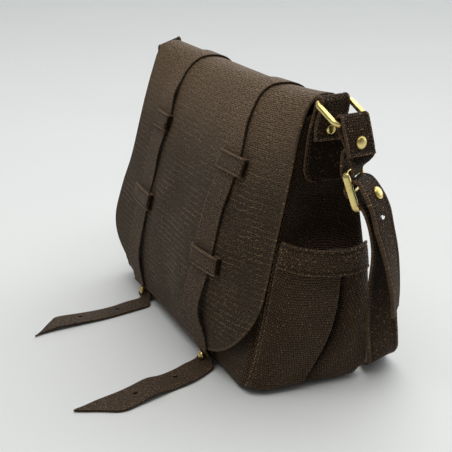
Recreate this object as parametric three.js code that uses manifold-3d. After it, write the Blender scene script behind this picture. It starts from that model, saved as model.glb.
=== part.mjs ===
// Crossbody messenger bag with a full flap, two buckled flap straps and a shoulder strap.
// Millimetres. +X is the viewer's right from the front, -Y is the front, +Z is up.
// The origin is the middle of the base, on the surface that the bag stands on.

import * as THREE from "three";
import { mergeVertices } from "three/addons/utils/BufferGeometryUtils.js";
import Module from "manifold-3d";

const wasm = await Module();
wasm.setup();

// Body
const halfWidth = 150;
const cornerRadius = 16;
const panelThickness = 2;
const gussetThickness = 2;
const seamGap = 3;
const gussetTop = 222;
const gussetArch = 7;
const gussetDent = 5;
const baseEdgeLift = 4;
const leftEndForward = 16;

// Flap
const flapThickness = 2.4;
const flapStart = 4.4;
const flapSteps = 26;
const hemHeight = 13;
const hemCornerStart = 70;
const hemCornerRise = 45;

// Flap straps, keepers and studs
const strapX = 82;
const strapWidth = 22;
const strapThickness = 2;
const keeperWidth = 13;
const keeperThickness = 1.5;
const studX = 80.5;
const studHeight = 7.5;
const holeRadius = 2;
const studTabOff = 0.8;

// Side pockets
const pocketThickness = 1.5;
const pocketFoot = 7;
const pleatDepth = 9.2;
const pleatStep = 2.3;
const bindingHeight = 22;

// Rings, slider and shoulder strap
const wireRadius = 2.1;
const frameHalf = 14.5;
const ringLength = 26;
const sliderLength = 32.4;
const sliderYaw = 42;
const sliderLean = 17;
const tabThickness = 1.8;
const tabWidth = 23;
const shoulderWidth = 24;
const shoulderThickness = 2.8;

// The clearance between touching pieces.
const gap = 0.4;

// The outer skin of the body from the back foot, over the ridge, to the front foot. The columns are the
// depth at the left end, the middle and the right end, and the height at the ends and the middle.
// The bag stands a little twisted: the left end of the ridge leans forward of the right end.
const skinRows = [
  { name: "back foot", yLeft: 56, yMid: 56, yRight: 55, zEnd: 4, zMid: 4 },
  { name: "back low", yLeft: 55, yMid: 58, yRight: 54.5, zEnd: 45, zMid: 45 },
  { name: "back belly", yLeft: 50, yMid: 56.5, yRight: 52, zEnd: 95, zMid: 95 },
  { name: "back waist", yLeft: 40, yMid: 48.5, yRight: 45.5, zEnd: 138, zMid: 138 },
  { name: "back upper", yLeft: 27, yMid: 37.5, yRight: 37.5, zEnd: 178, zMid: 178 },
  { name: "back shoulder", yLeft: 14.5, yMid: 25.5, yRight: 29, zEnd: 214, zMid: 212 },
  { name: "ridge back", yLeft: 7.5, yMid: 18, yRight: 23.5, zEnd: 232, zMid: 228 },
  { name: "ridge top", yLeft: -6, yMid: 5, yRight: 11, zEnd: 238, zMid: 233 },
  { name: "ridge front", yLeft: -18.5, yMid: -7, yRight: -1, zEnd: 232.5, zMid: 228.5 },
  { name: "front shoulder", yLeft: -26, yMid: -18, yRight: -9, zEnd: 213, zMid: 211 },
  { name: "front upper", yLeft: -37, yMid: -33.5, yRight: -17, zEnd: 174, zMid: 174 },
  { name: "front waist", yLeft: -49.5, yMid: -48, yRight: -26.5, zEnd: 130, zMid: 130 },
  { name: "front belly", yLeft: -57, yMid: -57.5, yRight: -33, zEnd: 97, zMid: 97 },
  { name: "front low", yLeft: -63.5, yMid: -59.5, yRight: -40.5, zEnd: 55, zMid: 55 },
  { name: "front hem", yLeft: -61, yMid: -58, yRight: -47, zEnd: 25, zMid: 25 },
  { name: "front foot", yLeft: -57.5, yMid: -56, yRight: -54.5, zEnd: 4, zMid: 4 },
];
const lastRow = skinRows.length - 1;
const ridgeRow = skinRows.findIndex((row) => row.name === "ridge top");
const upperKeeperRow = skinRows.findIndex((row) => row.name === "front upper");
const lowerKeeperRow = skinRows.findIndex((row) => row.name === "front belly");

// The mouth of a side pocket: share of the depth from front to back, and height of the binding's top.
const mouthRows = [
  { share: 0, top: 129 },
  { share: 0.25, top: 124 },
  { share: 0.5, top: 120 },
  { share: 0.75, top: 117 },
  { share: 1, top: 116 },
];

// The pleat's fold line on a side pocket: height and share of the depth from front to back.
const foldRows = [
  { height: 5, share: 0.51 },
  { height: 19, share: 0.56 },
  { height: 33, share: 0.61 },
  { height: 52, share: 0.665 },
  { height: 71, share: 0.7 },
  { height: 130, share: 0.72 },
];

// Centre lines of the flap straps' tails on the table, from the bend to the pointed tip.
const tailRows = {
  left: [
    { x: -72, y: -70, width: 22 },
    { x: -65, y: -84, width: 22 },
    { x: -59.6, y: -98, width: 22 },
    { x: -56, y: -117, width: 22 },
    { x: -53, y: -136, width: 22 },
    { x: -46, y: -155, width: 21 },
    { x: -37, y: -170, width: 13 },
    { x: -29, y: -182, width: 2 },
  ],
  right: [
    { x: 90, y: -70, width: 22 },
    { x: 95, y: -84, width: 22 },
    { x: 100, y: -100, width: 22 },
    { x: 107, y: -117, width: 22 },
    { x: 114, y: -135, width: 22 },
    { x: 120, y: -154, width: 21 },
    { x: 122, y: -170, width: 13 },
    { x: 121, y: -186, width: 2 },
  ],
};

// A ring tab from its shield on the gusset, around the ring's inner bar, to its stitched end.
const ringTabRows = [
  { x: 151.4, y: 10, z: 171, yaw: 0, width: 27 },
  { x: 151.4, y: 10, z: 175, yaw: 0, width: 34 },
  { x: 151.4, y: 10, z: 182, yaw: 0, width: 36 },
  { x: 151.4, y: 10, z: 205, yaw: 0, width: 31 },
  { x: 151.8, y: 10.3, z: 219, yaw: 2, width: 26 },
  { x: 153.2, y: 10.5, z: 227, yaw: 6, width: tabWidth },
  { x: 154.6, y: 10.5, z: 234.5, yaw: 12, width: tabWidth },
  { x: 156.6, y: 10.5, z: 237.8, yaw: 12, width: tabWidth },
  { x: 160.2, y: 10.5, z: 237.8, yaw: 12, width: tabWidth },
  { x: 162.2, y: 10.8, z: 234, yaw: 12, width: tabWidth },
  { x: 159.6, y: 11, z: 226.5, yaw: 8, width: tabWidth },
  { x: 155.8, y: 11, z: 218, yaw: 2, width: tabWidth },
  { x: 154.2, y: 11, z: 211, yaw: 0, width: tabWidth },
  { x: 154.1, y: 11, z: 203, yaw: 0, width: tabWidth },
];

// The connecting tab: stitched end, around the ring's outer bar, down and around the slider's top bar.
const linkRows = [
  { x: 186.3, y: 22, z: 198.5, yaw: 12 },
  { x: 186.3, y: 19.6, z: 208, yaw: 12 },
  { x: 186.2, y: 17.2, z: 217, yaw: 12 },
  { x: 185.7, y: 16.3, z: 224, yaw: 12 },
  { x: 183.8, y: 15.9, z: 227.8, yaw: 12 },
  { x: 180, y: 15.1, z: 227.8, yaw: 12 },
  { x: 178, y: 14.7, z: 224, yaw: 12 },
  { x: 180.4, y: 16.6, z: 217, yaw: 12 },
  { x: 183.6, y: 19.4, z: 208, yaw: 12 },
  { x: 183.6, y: 22, z: 199.5, yaw: 14 },
  { x: 182, y: 23, z: 194.5, yaw: 26 },
  { x: 179.2, y: 21.9, z: 188.5, yaw: 42 },
  { x: 178.6, y: 21.3, z: 184.4, yaw: 42 },
  { x: 176, y: 19, z: 182.6, yaw: 42 },
  { x: 173.4, y: 16.7, z: 184.4, yaw: 42 },
  { x: 172.8, y: 16.1, z: 188.5, yaw: 42 },
  { x: 173.6, y: 17, z: 196, yaw: 36 },
  { x: 176, y: 18, z: 203, yaw: 26 },
];

// The shoulder strap from its turned-back end, through the slider, along the table, to the left ring.
const shoulderRows = [
  { x: 196.5, y: 57, z: 71, yaw: 64, roll: 0 },
  { x: 196.5, y: 55.5, z: 88, yaw: 62, roll: 0 },
  { x: 196, y: 51.3, z: 118, yaw: 57, roll: 0 },
  { x: 196, y: 44, z: 142, yaw: 50, roll: 0 },
  { x: 195.2, y: 38, z: 158, yaw: 44, roll: 0 },
  { x: 192, y: 33.7, z: 170.8, yaw: 42, roll: 0 },
  { x: 187.5, y: 29.4, z: 178.6, yaw: 42, roll: 0 },
  { x: 182.6, y: 25, z: 181.6, yaw: 42, roll: 0 },
  { x: 177.9, y: 20.7, z: 179, yaw: 42, roll: 0 },
  { x: 174.8, y: 18, z: 175.4, yaw: 42, roll: 0 },
  { x: 175, y: 18.2, z: 171.2, yaw: 42, roll: 0 },
  { x: 176.8, y: 19.8, z: 166.8, yaw: 42, roll: 0 },
  { x: 181.2, y: 23.8, z: 163.6, yaw: 42, roll: 0 },
  { x: 186.5, y: 28.6, z: 161, yaw: 42, roll: 0 },
  { x: 191, y: 34, z: 154, yaw: 41, roll: 0 },
  { x: 190, y: 39.5, z: 141, yaw: 36, roll: 0 },
  { x: 183, y: 46, z: 123, yaw: 28, roll: 0 },
  { x: 172.5, y: 53.5, z: 100, yaw: 18, roll: 0 },
  { x: 165.5, y: 58, z: 78, yaw: 9, roll: 0 },
  { x: 161, y: 62, z: 52, yaw: 4, roll: 0 },
  { x: 158, y: 66, z: 31, yaw: 2, roll: 8 },
  { x: 152, y: 70.5, z: 15, yaw: 0, roll: 12 },
  { x: 139, y: 74, z: 7, yaw: 0, roll: 8 },
  { x: 120, y: 77, z: 2.6, yaw: 0, roll: 1 },
  { x: 96, y: 79.5, z: 1.8, yaw: 0, roll: 0 },
  { x: 20, y: 82, z: 1.8, yaw: 0, roll: 0 },
  { x: -80, y: 82, z: 1.8, yaw: 0, roll: 0 },
  { x: -180, y: 82, z: 1.8, yaw: 0, roll: 0 },
  { x: -262, y: 81, z: 1.8, yaw: 0, roll: 0 },
  { x: -290, y: 79, z: 3.2, yaw: 0, roll: 0 },
  { x: -309, y: 75, z: 11, yaw: 0, roll: 0 },
  { x: -317, y: 68, z: 28, yaw: 0, roll: 0 },
  { x: -310, y: 58, z: 56, yaw: 0, roll: 0 },
  { x: -290, y: 44, z: 91, yaw: 0, roll: 0 },
  { x: -262, y: 29, z: 130, yaw: -4, roll: 0 },
  { x: -232, y: 15, z: 166, yaw: -8, roll: 0 },
  { x: -205, y: 5, z: 195, yaw: -12, roll: 0 },
  { x: -192, y: 1.6, z: 211, yaw: -12, roll: 0 },
  { x: -186.3, y: 0.4, z: 223.5, yaw: -12, roll: 0 },
  { x: -184.2, y: 0, z: 227.6, yaw: -12, roll: 0 },
  { x: -180.2, y: -1, z: 228.2, yaw: -12, roll: 0 },
  { x: -177.6, y: -1.4, z: 224, yaw: -12, roll: 0 },
  { x: -182.5, y: 0, z: 214, yaw: -12, roll: 0 },
  { x: -192, y: 2.6, z: 202, yaw: -12, roll: 0 },
  { x: -203, y: 6.2, z: 189.5, yaw: -12, roll: 0 },
];

const toRight = new THREE.Vector3(1, 0, 0);
const toLeft = new THREE.Vector3(-1, 0, 0);
const forward = new THREE.Vector3(0, -1, 0);
const upward = new THREE.Vector3(0, 0, 1);

const clamp01 = (value) => Math.min(1, Math.max(0, value));

const smooth = (value) => {
  const t = clamp01(value);
  return t * t * (3 - 2 * t);
};

// Straight interpolation in a table between two of its columns.
function lookup(rows, keyColumn, valueColumn, key) {
  const last = rows.length - 1;
  if (key <= rows[0][keyColumn]) {
    return rows[0][valueColumn];
  }
  for (let i = 0; i < last; i += 1) {
    const from = rows[i];
    const to = rows[i + 1];
    if (key <= to[keyColumn]) {
      const t = (key - from[keyColumn]) / (to[keyColumn] - from[keyColumn]);
      return from[valueColumn] + (to[valueColumn] - from[valueColumn]) * t;
    }
  }
  return rows[last][valueColumn];
}

// A closed body from corner points and faces, with its faces turned outward.
function closedBody(points, faces) {
  let volume = 0;
  for (const [a, b, c] of faces) {
    volume += points[a].dot(new THREE.Vector3().crossVectors(points[b], points[c]));
  }
  const index = faces.flatMap(([a, b, c]) => (volume < 0 ? [a, c, b] : [a, b, c]));
  const positions = points.flatMap((point) => point.toArray());
  const geometry = new THREE.BufferGeometry();
  geometry.setAttribute("position", new THREE.Float32BufferAttribute(positions, 3));
  geometry.setIndex(index);
  return geometry;
}

// A wall between two point grids of the same size, closed around its rim.
function wall(outer, inner) {
  const rows = outer.length;
  const columns = outer[0].length;
  const points = [...outer.flat(), ...inner.flat()];
  const offset = rows * columns;
  const faces = [];
  const quad = (a, b, c, d) => {
    faces.push([a, b, c]);
    faces.push([a, c, d]);
  };
  for (let i = 0; i < rows - 1; i += 1) {
    for (let j = 0; j < columns - 1; j += 1) {
      const a = i * columns + j;
      const b = a + columns;
      quad(a, b, b + 1, a + 1);
      quad(offset + a, offset + a + 1, offset + b + 1, offset + b);
    }
  }
  const rim = [];
  for (let j = 0; j < columns; j += 1) {
    rim.push(j);
  }
  for (let i = 1; i < rows; i += 1) {
    rim.push(i * columns + columns - 1);
  }
  for (let j = columns - 2; j >= 0; j -= 1) {
    rim.push((rows - 1) * columns + j);
  }
  for (let i = rows - 2; i > 0; i -= 1) {
    rim.push(i * columns);
  }
  for (let n = 0; n < rim.length; n += 1) {
    const a = rim[n];
    const b = rim[(n + 1) % rim.length];
    quad(a, b, offset + b, offset + a);
  }
  return closedBody(points, faces);
}

// A flat band along stations, each with a centre, a direction across and a width.
function band(stations, thickness) {
  const centres = stations.map((station) => station.centre);
  const outer = [];
  const inner = [];
  stations.forEach((station, i) => {
    const before = centres[Math.max(0, i - 1)];
    const after = centres[Math.min(centres.length - 1, i + 1)];
    const along = new THREE.Vector3().subVectors(after, before).normalize();
    const normal = new THREE.Vector3().crossVectors(along, station.across).normalize();
    const side = station.across.clone().multiplyScalar(station.width / 2);
    const rise = normal.multiplyScalar(thickness / 2);
    const left = station.centre.clone().sub(side);
    const right = station.centre.clone().add(side);
    outer.push([left.clone().add(rise), right.clone().add(rise)]);
    inner.push([left.sub(rise), right.sub(rise)]);
  });
  return wall(outer, inner);
}

// The direction across a band that is turned by a yaw about +Z and a roll about its run.
function acrossAt(yaw, roll = 0) {
  const a = THREE.MathUtils.degToRad(yaw);
  const b = THREE.MathUtils.degToRad(roll);
  return new THREE.Vector3(-Math.sin(a) * Math.cos(b), Math.cos(a) * Math.cos(b), Math.sin(b));
}

// Band stations along a smooth line through table rows, with a number of steps between rows.
function stationsAlong(rows, width, steps) {
  const line = new THREE.CatmullRomCurve3(rows.map((row) => new THREE.Vector3(row.x, row.y, row.z)));
  line.curveType = "catmullrom";
  const count = (rows.length - 1) * steps;
  const numbered = rows.map((row, i) => ({ ...row, i, width: row.width ?? width, roll: row.roll ?? 0 }));
  return Array.from({ length: count + 1 }, (_, n) => ({
    centre: line.getPoint(n / count),
    across: acrossAt(lookup(numbered, "i", "yaw", n / steps), lookup(numbered, "i", "roll", n / steps)),
    width: lookup(numbered, "i", "width", n / steps),
  }));
}

function toManifold(geometry) {
  const plain = geometry.clone();
  plain.deleteAttribute("normal");
  plain.deleteAttribute("uv");
  const merged = mergeVertices(plain, 1e-4);
  const vertProperties = new Float32Array(merged.attributes.position.array);
  const triVerts = new Uint32Array(merged.index.array);
  return new wasm.Manifold(new wasm.Mesh({ numProp: 3, vertProperties, triVerts }));
}

function fromManifold(manifold) {
  const mesh = manifold.getMesh();
  const geometry = new THREE.BufferGeometry();
  geometry.setAttribute("position", new THREE.BufferAttribute(new Float32Array(mesh.vertProperties), 3));
  geometry.setIndex(new THREE.BufferAttribute(new Uint32Array(mesh.triVerts), 1));
  return geometry;
}

// A geometry that was made along +Y, turned so that +Y becomes the given axis, and moved to a place.
function placed(geometry, place, axis) {
  const turn = new THREE.Quaternion().setFromUnitVectors(new THREE.Vector3(0, 1, 0), axis);
  const copy = geometry.clone();
  copy.applyQuaternion(turn);
  return copy.translate(place.x, place.y, place.z);
}

// Round holes through a piece.
function drilled(geometry, radius, length, holes) {
  let body = toManifold(geometry);
  for (const hole of holes) {
    const cutter = placed(new THREE.CylinderGeometry(radius, radius, length, 10), hole.place, hole.axis);
    body = body.subtract(toManifold(cutter));
  }
  return fromManifold(body);
}

// The same piece on the left end of the bag, which stands further forward.
function mirrored(geometry) {
  const copy = geometry.clone();
  const position = copy.attributes.position;
  const index = copy.index;
  for (let i = 0; i < position.count; i += 1) {
    position.setX(i, -position.getX(i));
  }
  for (let i = 0; i < index.count; i += 3) {
    const second = index.getX(i + 1);
    index.setX(i + 1, index.getX(i + 2));
    index.setX(i + 2, second);
  }
  return copy.translate(0, -leftEndForward, 0);
}

// A smooth line through one column of depths and one column of heights of the skin's table.
function skinLine(yColumn, zColumn) {
  const points = skinRows.map((row) => new THREE.Vector3(0, row[yColumn], row[zColumn]));
  const line = new THREE.CatmullRomCurve3(points);
  line.curveType = "catmullrom";
  return line;
}

const leftLine = skinLine("yLeft", "zEnd");
const midLine = skinLine("yMid", "zMid");
const rightLine = skinLine("yRight", "zEnd");

const crown = (x) => 1 - Math.abs(x / halfWidth) ** 3;

// A point of the body's skin at a place along the width and a row number from the back to the front.
function skin(x, row) {
  const t = clamp01(row / lastRow);
  const endLine = x < 0 ? leftLine : rightLine;
  const point = endLine.getPoint(t).lerp(midLine.getPoint(t), crown(x));
  point.x = x;
  return point;
}

function skinNormal(x, row) {
  const step = 0.02;
  const alongRow = skin(x, Math.min(lastRow, row + step)).sub(skin(x, Math.max(0, row - step)));
  const alongX = skin(x + step, row).sub(skin(x - step, row));
  return alongRow.cross(alongX).normalize();
}

function offSkin(x, row, distance) {
  return skin(x, row).addScaledVector(skinNormal(x, row), distance);
}

// The row number where the front or the back of the skin reaches a height.
function rowAtHeight(x, height, front) {
  let low = ridgeRow;
  let high = front ? lastRow : 0;
  for (let n = 0; n < 30; n += 1) {
    const middle = (low + high) / 2;
    if (skin(x, middle).z > height) {
      low = middle;
    } else {
      high = middle;
    }
  }
  return (low + high) / 2;
}

// The depth of the front or back edge of an end wall at a height; side is -1 on the left, 1 on the right.
function edgeY(height, front, side) {
  const x = side * halfWidth;
  return skin(x, rowAtHeight(x, height, front)).y;
}

// Half of the body's width at a height, drawn in around the lower corners.
function halfWidthAt(height) {
  if (height >= cornerRadius) {
    return halfWidth;
  }
  const drop = cornerRadius - height;
  return halfWidth - cornerRadius + Math.sqrt(cornerRadius ** 2 - drop ** 2);
}

// The front or back edge of the gusset at a place of its line, blended between the two ends.
function gussetEdge(at, front) {
  const rightShare = clamp01(at.x / (2 * halfWidth) + 0.5);
  return edgeY(at.z, front, -1) * (1 - rightShare) + edgeY(at.z, front, 1) * rightShare;
}

// A panel of the body between two row numbers.
function bodyPanel(fromRow, toRow, rowCount, columnCount) {
  const grids = [0, -panelThickness].map((depth) =>
    Array.from({ length: rowCount + 1 }, (_, i) => {
      const row = fromRow + ((toRow - fromRow) * i) / rowCount;
      const reach = halfWidthAt(skin(halfWidth, row).z);
      return Array.from({ length: columnCount + 1 }, (__, j) =>
        offSkin(reach * Math.sin(Math.PI * (j / columnCount - 0.5)), row, depth));
    }));
  return wall(grids[0], grids[1]);
}

// Stations of the gusset's outer line, down one end, along the base and up the other end.
function gussetLine() {
  const sideHeights = [gussetTop, 205, 185, 165, 145, 125, 100, 75, 50, 30];
  const baseX = [110, 70, 25];
  const arcSteps = 4;
  const right = sideHeights.map((z) => ({ x: halfWidth, z, tilt: 0 }));
  for (let n = 0; n <= arcSteps; n += 1) {
    const tilt = ((Math.PI / 2) * n) / arcSteps;
    right.push({
      x: halfWidth - cornerRadius + cornerRadius * Math.cos(tilt),
      z: cornerRadius - cornerRadius * Math.sin(tilt),
      tilt,
    });
  }
  baseX.forEach((x) => right.push({ x, z: 0, tilt: Math.PI / 2 }));
  const left = right.map((at) => ({ x: -at.x, z: at.z, tilt: Math.PI - at.tilt })).reverse();
  return [...right, ...left];
}

// How far a point of the gusset is pulled inward: the sagging side wall and the lifted base edges.
function gussetInset(at, share) {
  const side = Math.cos(at.tilt) ** 2;
  const base = Math.sin(at.tilt) ** 2;
  const upper = smooth((at.z - 104) / 30) * smooth((178 - at.z) / 22);
  const edge = smooth(1 - share / 0.16) + smooth(1 - (1 - share) / 0.16);
  return gussetDent * side * upper * Math.sin(Math.PI * share) + baseEdgeLift * base * edge;
}

function gusset() {
  const shares = [0, 0.07, 0.16, 0.34, 0.5, 0.66, 0.84, 0.93, 1];
  const grids = [0, gussetThickness].map((depth) =>
    gussetLine().map((at) => {
      const front = gussetEdge(at, true) + seamGap;
      const back = gussetEdge(at, false) - seamGap;
      return shares.map((share) => {
        const inset = gussetInset(at, share) + depth;
        const x = at.x - Math.cos(at.tilt) * inset;
        const arch = at.z === gussetTop ? gussetArch * Math.sin(Math.PI * share) : 0;
        const z = at.z + Math.sin(at.tilt) * inset + arch;
        return new THREE.Vector3(x, front + (back - front) * share, z);
      });
    }));
  return wall(grids[0], grids[1]);
}

// How far the flap stands off the body: close above, loose near the hem and the lower corners.
function flapLift(x, height) {
  const loose = 2.9 + 2.7 * Math.abs(x / halfWidth) ** 4;
  return gap + loose * smooth((100 - height) / 60);
}

const hemAt = (x) =>
  hemHeight + hemCornerRise * clamp01((Math.abs(x) - hemCornerStart) / (halfWidth - hemCornerStart)) ** 2.2;

function offFlap(x, row, distance) {
  return offSkin(x, row, flapLift(x, skin(x, row).z) + distance);
}

// The row number of the flap's step from its back seam to its hem.
function flapRow(x, step) {
  const hemRow = rowAtHeight(x, hemAt(x), true);
  return flapStart + ((hemRow - flapStart) * step) / flapSteps;
}

function flap() {
  const columnCount = 18;
  const grids = [flapThickness, 0].map((distance) =>
    Array.from({ length: flapSteps + 1 }, (_, i) =>
      Array.from({ length: columnCount + 1 }, (__, j) => {
        const x = halfWidth * Math.sin(Math.PI * (j / columnCount - 0.5));
        return offFlap(x, flapRow(x, i), distance);
      })));
  return wall(grids[0], grids[1]);
}

// The direction across the flap at a strap, along the flap's own curve.
function acrossFlap(x, row) {
  const reach = strapWidth / 2;
  return offFlap(x + reach, row, 0).sub(offFlap(x - reach, row, 0)).normalize();
}

// How far a flap strap arches off the flap, between its keepers and below the lower one.
function strapArch(row) {
  const upper = clamp01((row - upperKeeperRow) / (lowerKeeperRow - upperKeeperRow));
  const lower = clamp01((row - lowerKeeperRow) / 2.2);
  return 3 * Math.sin(Math.PI * upper) ** 2 + 4.5 * Math.sin(Math.PI * lower) ** 2;
}

// Stations of a flap strap: over the flap, past the stud, around the bend and along the table.
function flapStrapStations(sign, tail) {
  const stations = [];
  const onFlap = flapThickness + 2.6 * gap + strapThickness / 2;
  const x = sign * strapX;
  for (let step = 1; step <= flapSteps; step += 1) {
    const row = flapRow(x, step);
    stations.push({
      centre: offFlap(x, row, onFlap + strapArch(row)),
      across: acrossFlap(x, row),
      width: strapWidth,
    });
  }
  const offBody = studTabOff + tabThickness + 2 * gap + strapThickness / 2;
  const studY = skin(x, rowAtHeight(x, studHeight, true)).y - offBody;
  const bend = [
    { x: sign * studX, y: studY - 1, z: studHeight + 3.2 },
    { x: sign * studX, y: studY, z: studHeight },
    { x: sign * studX + 2, y: studY - 0.8, z: 4.8 },
    { x: sign * studX + 5, y: studY - 4, z: 2.2 },
  ];
  const floorZ = gap + strapThickness / 2;
  const flat = [...bend, ...tail.map((row) => ({ x: row.x, y: row.y, z: floorZ, width: row.width }))];
  flat.forEach((at, i) => {
    const next = flat[Math.min(flat.length - 1, i + 1)];
    const last = flat[Math.max(0, i - 1)];
    const turn = Math.atan2(next.x - last.x, last.y - next.y) * clamp01((i - 2) / 3);
    stations.push({
      centre: new THREE.Vector3(at.x, at.y, at.z),
      across: new THREE.Vector3(Math.cos(turn), Math.sin(turn), 0),
      width: at.width ?? strapWidth,
    });
  });
  return stations;
}

function flapStrap(sign, tail) {
  const studY = skin(strapX, rowAtHeight(strapX, studHeight, true)).y;
  const studPlace = new THREE.Vector3(sign * studX, studY, studHeight);
  const holes = [{ place: studPlace, axis: forward }];
  for (const i of [2, 4]) {
    holes.push({ place: new THREE.Vector3(tail[i].x, tail[i].y, 0), axis: upward });
  }
  return drilled(band(flapStrapStations(sign, tail), strapThickness), holeRadius + gap, 16, holes);
}

// A keeper: a short loop of strap over a flap strap, with both feet on the flap.
function keeper(sign, row) {
  const x = sign * strapX;
  const centre = offFlap(x, row, flapThickness);
  const out = skinNormal(x, row);
  const along = skin(x, row + 0.05).sub(skin(x, row - 0.05)).normalize();
  const across = acrossFlap(x, row);
  const low = 2.5 * gap + keeperThickness / 2;
  const high = 4.5 * gap + strapThickness + keeperThickness / 2;
  const reach = strapWidth / 2;
  const outline = [
    { across: -reach - 6, rise: low },
    { across: -reach - 2.6, rise: low + 0.2 },
    { across: -reach - 1, rise: high },
    { across: reach + 1, rise: high },
    { across: reach + 2.6, rise: low + 0.2 },
    { across: reach + 6, rise: low },
  ];
  const stations = outline.map((at) => ({
    centre: centre.clone().addScaledVector(across, at.across).addScaledVector(out, at.rise),
    across: along,
    width: keeperWidth,
  }));
  return band(stations, keeperThickness);
}

// A short tab below the hem that carries a stud, drilled for the stud's shank.
function studTab(sign) {
  const x = sign * studX;
  const topRow = rowAtHeight(x, 26, true);
  const footRow = rowAtHeight(x, 4.4, true);
  const stations = Array.from({ length: 6 }, (_, i) => {
    const row = topRow + ((footRow - topRow) * i) / 5;
    return { centre: offSkin(x, row, studTabOff + tabThickness / 2), across: toRight, width: 18 };
  });
  const hole = { place: offSkin(x, rowAtHeight(x, studHeight, true), 0), axis: forward };
  return drilled(band(stations, tabThickness), holeRadius + gap, 16, [hole]);
}

// A stud with a shank, a waist and a ball head, along -Y.
function stud(sign) {
  const x = sign * studX;
  const place = offSkin(x, rowAtHeight(x, studHeight, true), gap);
  const neck = studTabOff + 5 * gap + tabThickness + strapThickness;
  const profile = [
    [0, 0], [holeRadius, 0], [holeRadius, neck], [3.4, neck + 0.8], [3.9, neck + 2.2],
    [3.4, neck + 3.6], [2, neck + 4.5], [0, neck + 4.9],
  ];
  const lathe = new THREE.LatheGeometry(profile.map(([r, h]) => new THREE.Vector2(r, h)), 12);
  return placed(lathe, place, forward);
}

// A rivet with a shank and a domed cap, its cap just clear of the outer face at the given place.
function rivet(place, axis, capRadius, shankLength) {
  const shank = 1.6;
  const seat = 1.5 * gap;
  const profile = [
    [0, -shankLength], [shank, -shankLength], [shank, seat], [capRadius, seat],
    [capRadius, seat + 0.6], [capRadius * 0.7, seat + 1.5], [0, seat + 1.9],
  ];
  const lathe = new THREE.LatheGeometry(profile.map(([r, h]) => new THREE.Vector2(r, h)), 12);
  return placed(lathe, place, axis);
}

// The place of a pocket's pleat along the depth and the pocket's stand-off, at a height.
const foldShare = (height) => lookup(foldRows, "height", "share", height);
const standOff = (height) => 6 + 5 * smooth((height - pocketFoot) / 45);

// The pleated section of a side pocket at a height: distance along the depth and off the gusset.
function pocketSection(height, side) {
  const front = edgeY(height, true, side) + seamGap;
  const back = edgeY(height, false, side) - seamGap;
  const fold = front + (back - front) * foldShare(height);
  const top = standOff(height);
  const base = 2 * gap + pocketThickness / 2;
  const low = top - 2 * pleatStep;
  const toFold = (share) => front + (fold - front) * share;
  const toBack = (share) => fold + (back - fold) * share;
  return [
    { y: front, off: base },
    { y: toFold(0.1), off: base + 0.4 * (top - base) },
    { y: toFold(0.3), off: base + 0.8 * (top - base) },
    { y: toFold(0.55), off: base + 0.97 * (top - base) },
    { y: toFold(0.8), off: top },
    { y: fold - 1.2, off: top },
    { y: fold, off: top - pleatStep / 2 },
    { y: fold - 1.2, off: top - pleatStep },
    { y: fold + 1.2 - pleatDepth, off: top - pleatStep },
    { y: fold - pleatDepth, off: top - 1.5 * pleatStep },
    { y: fold + 1.2 - pleatDepth, off: low },
    { y: toBack(0.1), off: low },
    { y: toBack(0.5), off: low + 0.8 },
    { y: toBack(0.85), off: base + 0.5 * (low - base) },
    { y: back, off: base },
  ];
}

// The two faces of a section that is thickened evenly to both sides.
function thickened(section, thickness) {
  const faces = [[], []];
  section.forEach((at, i) => {
    const before = section[Math.max(0, i - 1)];
    const after = section[Math.min(section.length - 1, i + 1)];
    const inDirection = new THREE.Vector2(at.y - before.y, at.off - before.off).normalize();
    const outDirection = new THREE.Vector2(after.y - at.y, after.off - at.off).normalize();
    const inNormal = new THREE.Vector2(-inDirection.y, inDirection.x);
    const outNormal = new THREE.Vector2(-outDirection.y, outDirection.x);
    const normal = inNormal.add(outNormal).normalize();
    const lean = Math.max(0.6, Math.abs(normal.dot(outNormal) || 1));
    const reach = thickness / 2 / lean;
    faces[0].push({ y: at.y + normal.x * reach, off: at.off + normal.y * reach });
    faces[1].push({ y: at.y - normal.x * reach, off: at.off - normal.y * reach });
  });
  return faces;
}

const mouthTop = (share) => lookup(mouthRows, "share", "top", share);

// A side pocket, from its foot to just below the top of its binding.
function sidePocket(side) {
  const rises = [0, 0.02, 0.045, 0.08, 0.2, 0.36, 0.54, 0.72, 0.86, 1];
  const columns = pocketSection(pocketFoot, side).length - 1;
  const grids = [0, 1].map((face) =>
    rises.map((rise) =>
      Array.from({ length: columns + 1 }, (_, j) => {
        const height = pocketFoot + (mouthTop(j / columns) - 0.6 - pocketFoot) * rise;
        const at = thickened(pocketSection(height, side), pocketThickness)[face][j];
        return new THREE.Vector3(side * (halfWidthAt(height) + at.off), at.y, height);
      })));
  return wall(grids[0], grids[1]);
}

// The binding's section at a height: on the pocket up to the fold, then straight over to the back.
function bindingSection(height, side) {
  const lap = pocketThickness + 2.4 * gap;
  const section = pocketSection(height, side);
  const raised = thickened(section, 2 * lap)[0];
  const fold = raised[5];
  const end = { y: section[section.length - 1].y, off: section[section.length - 1].off + lap };
  const across = (share) => fold.y + (end.y - fold.y) * share;
  return [
    { y: section[0].y, off: raised[0].off },
    ...raised.slice(1, 6),
    { y: across(0.25), off: fold.off - 0.4 },
    { y: across(0.6), off: fold.off - 2.5 },
    { y: across(0.88), off: end.off + 3.6 },
    end,
  ];
}

// The binding along the mouth of a side pocket.
function pocketBinding(side) {
  const columns = bindingSection(100, side).length - 1;
  const grids = [0, 1].map((face) =>
    [0, 0.5, 1].map((rise) =>
      Array.from({ length: columns + 1 }, (_, j) => {
        const height = mouthTop(j / columns) - bindingHeight * (1 - rise);
        const at = thickened(bindingSection(height, side), pocketThickness)[face][j];
        return new THREE.Vector3(side * (halfWidth + at.off), at.y, height);
      })));
  return wall(grids[0], grids[1]);
}

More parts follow.
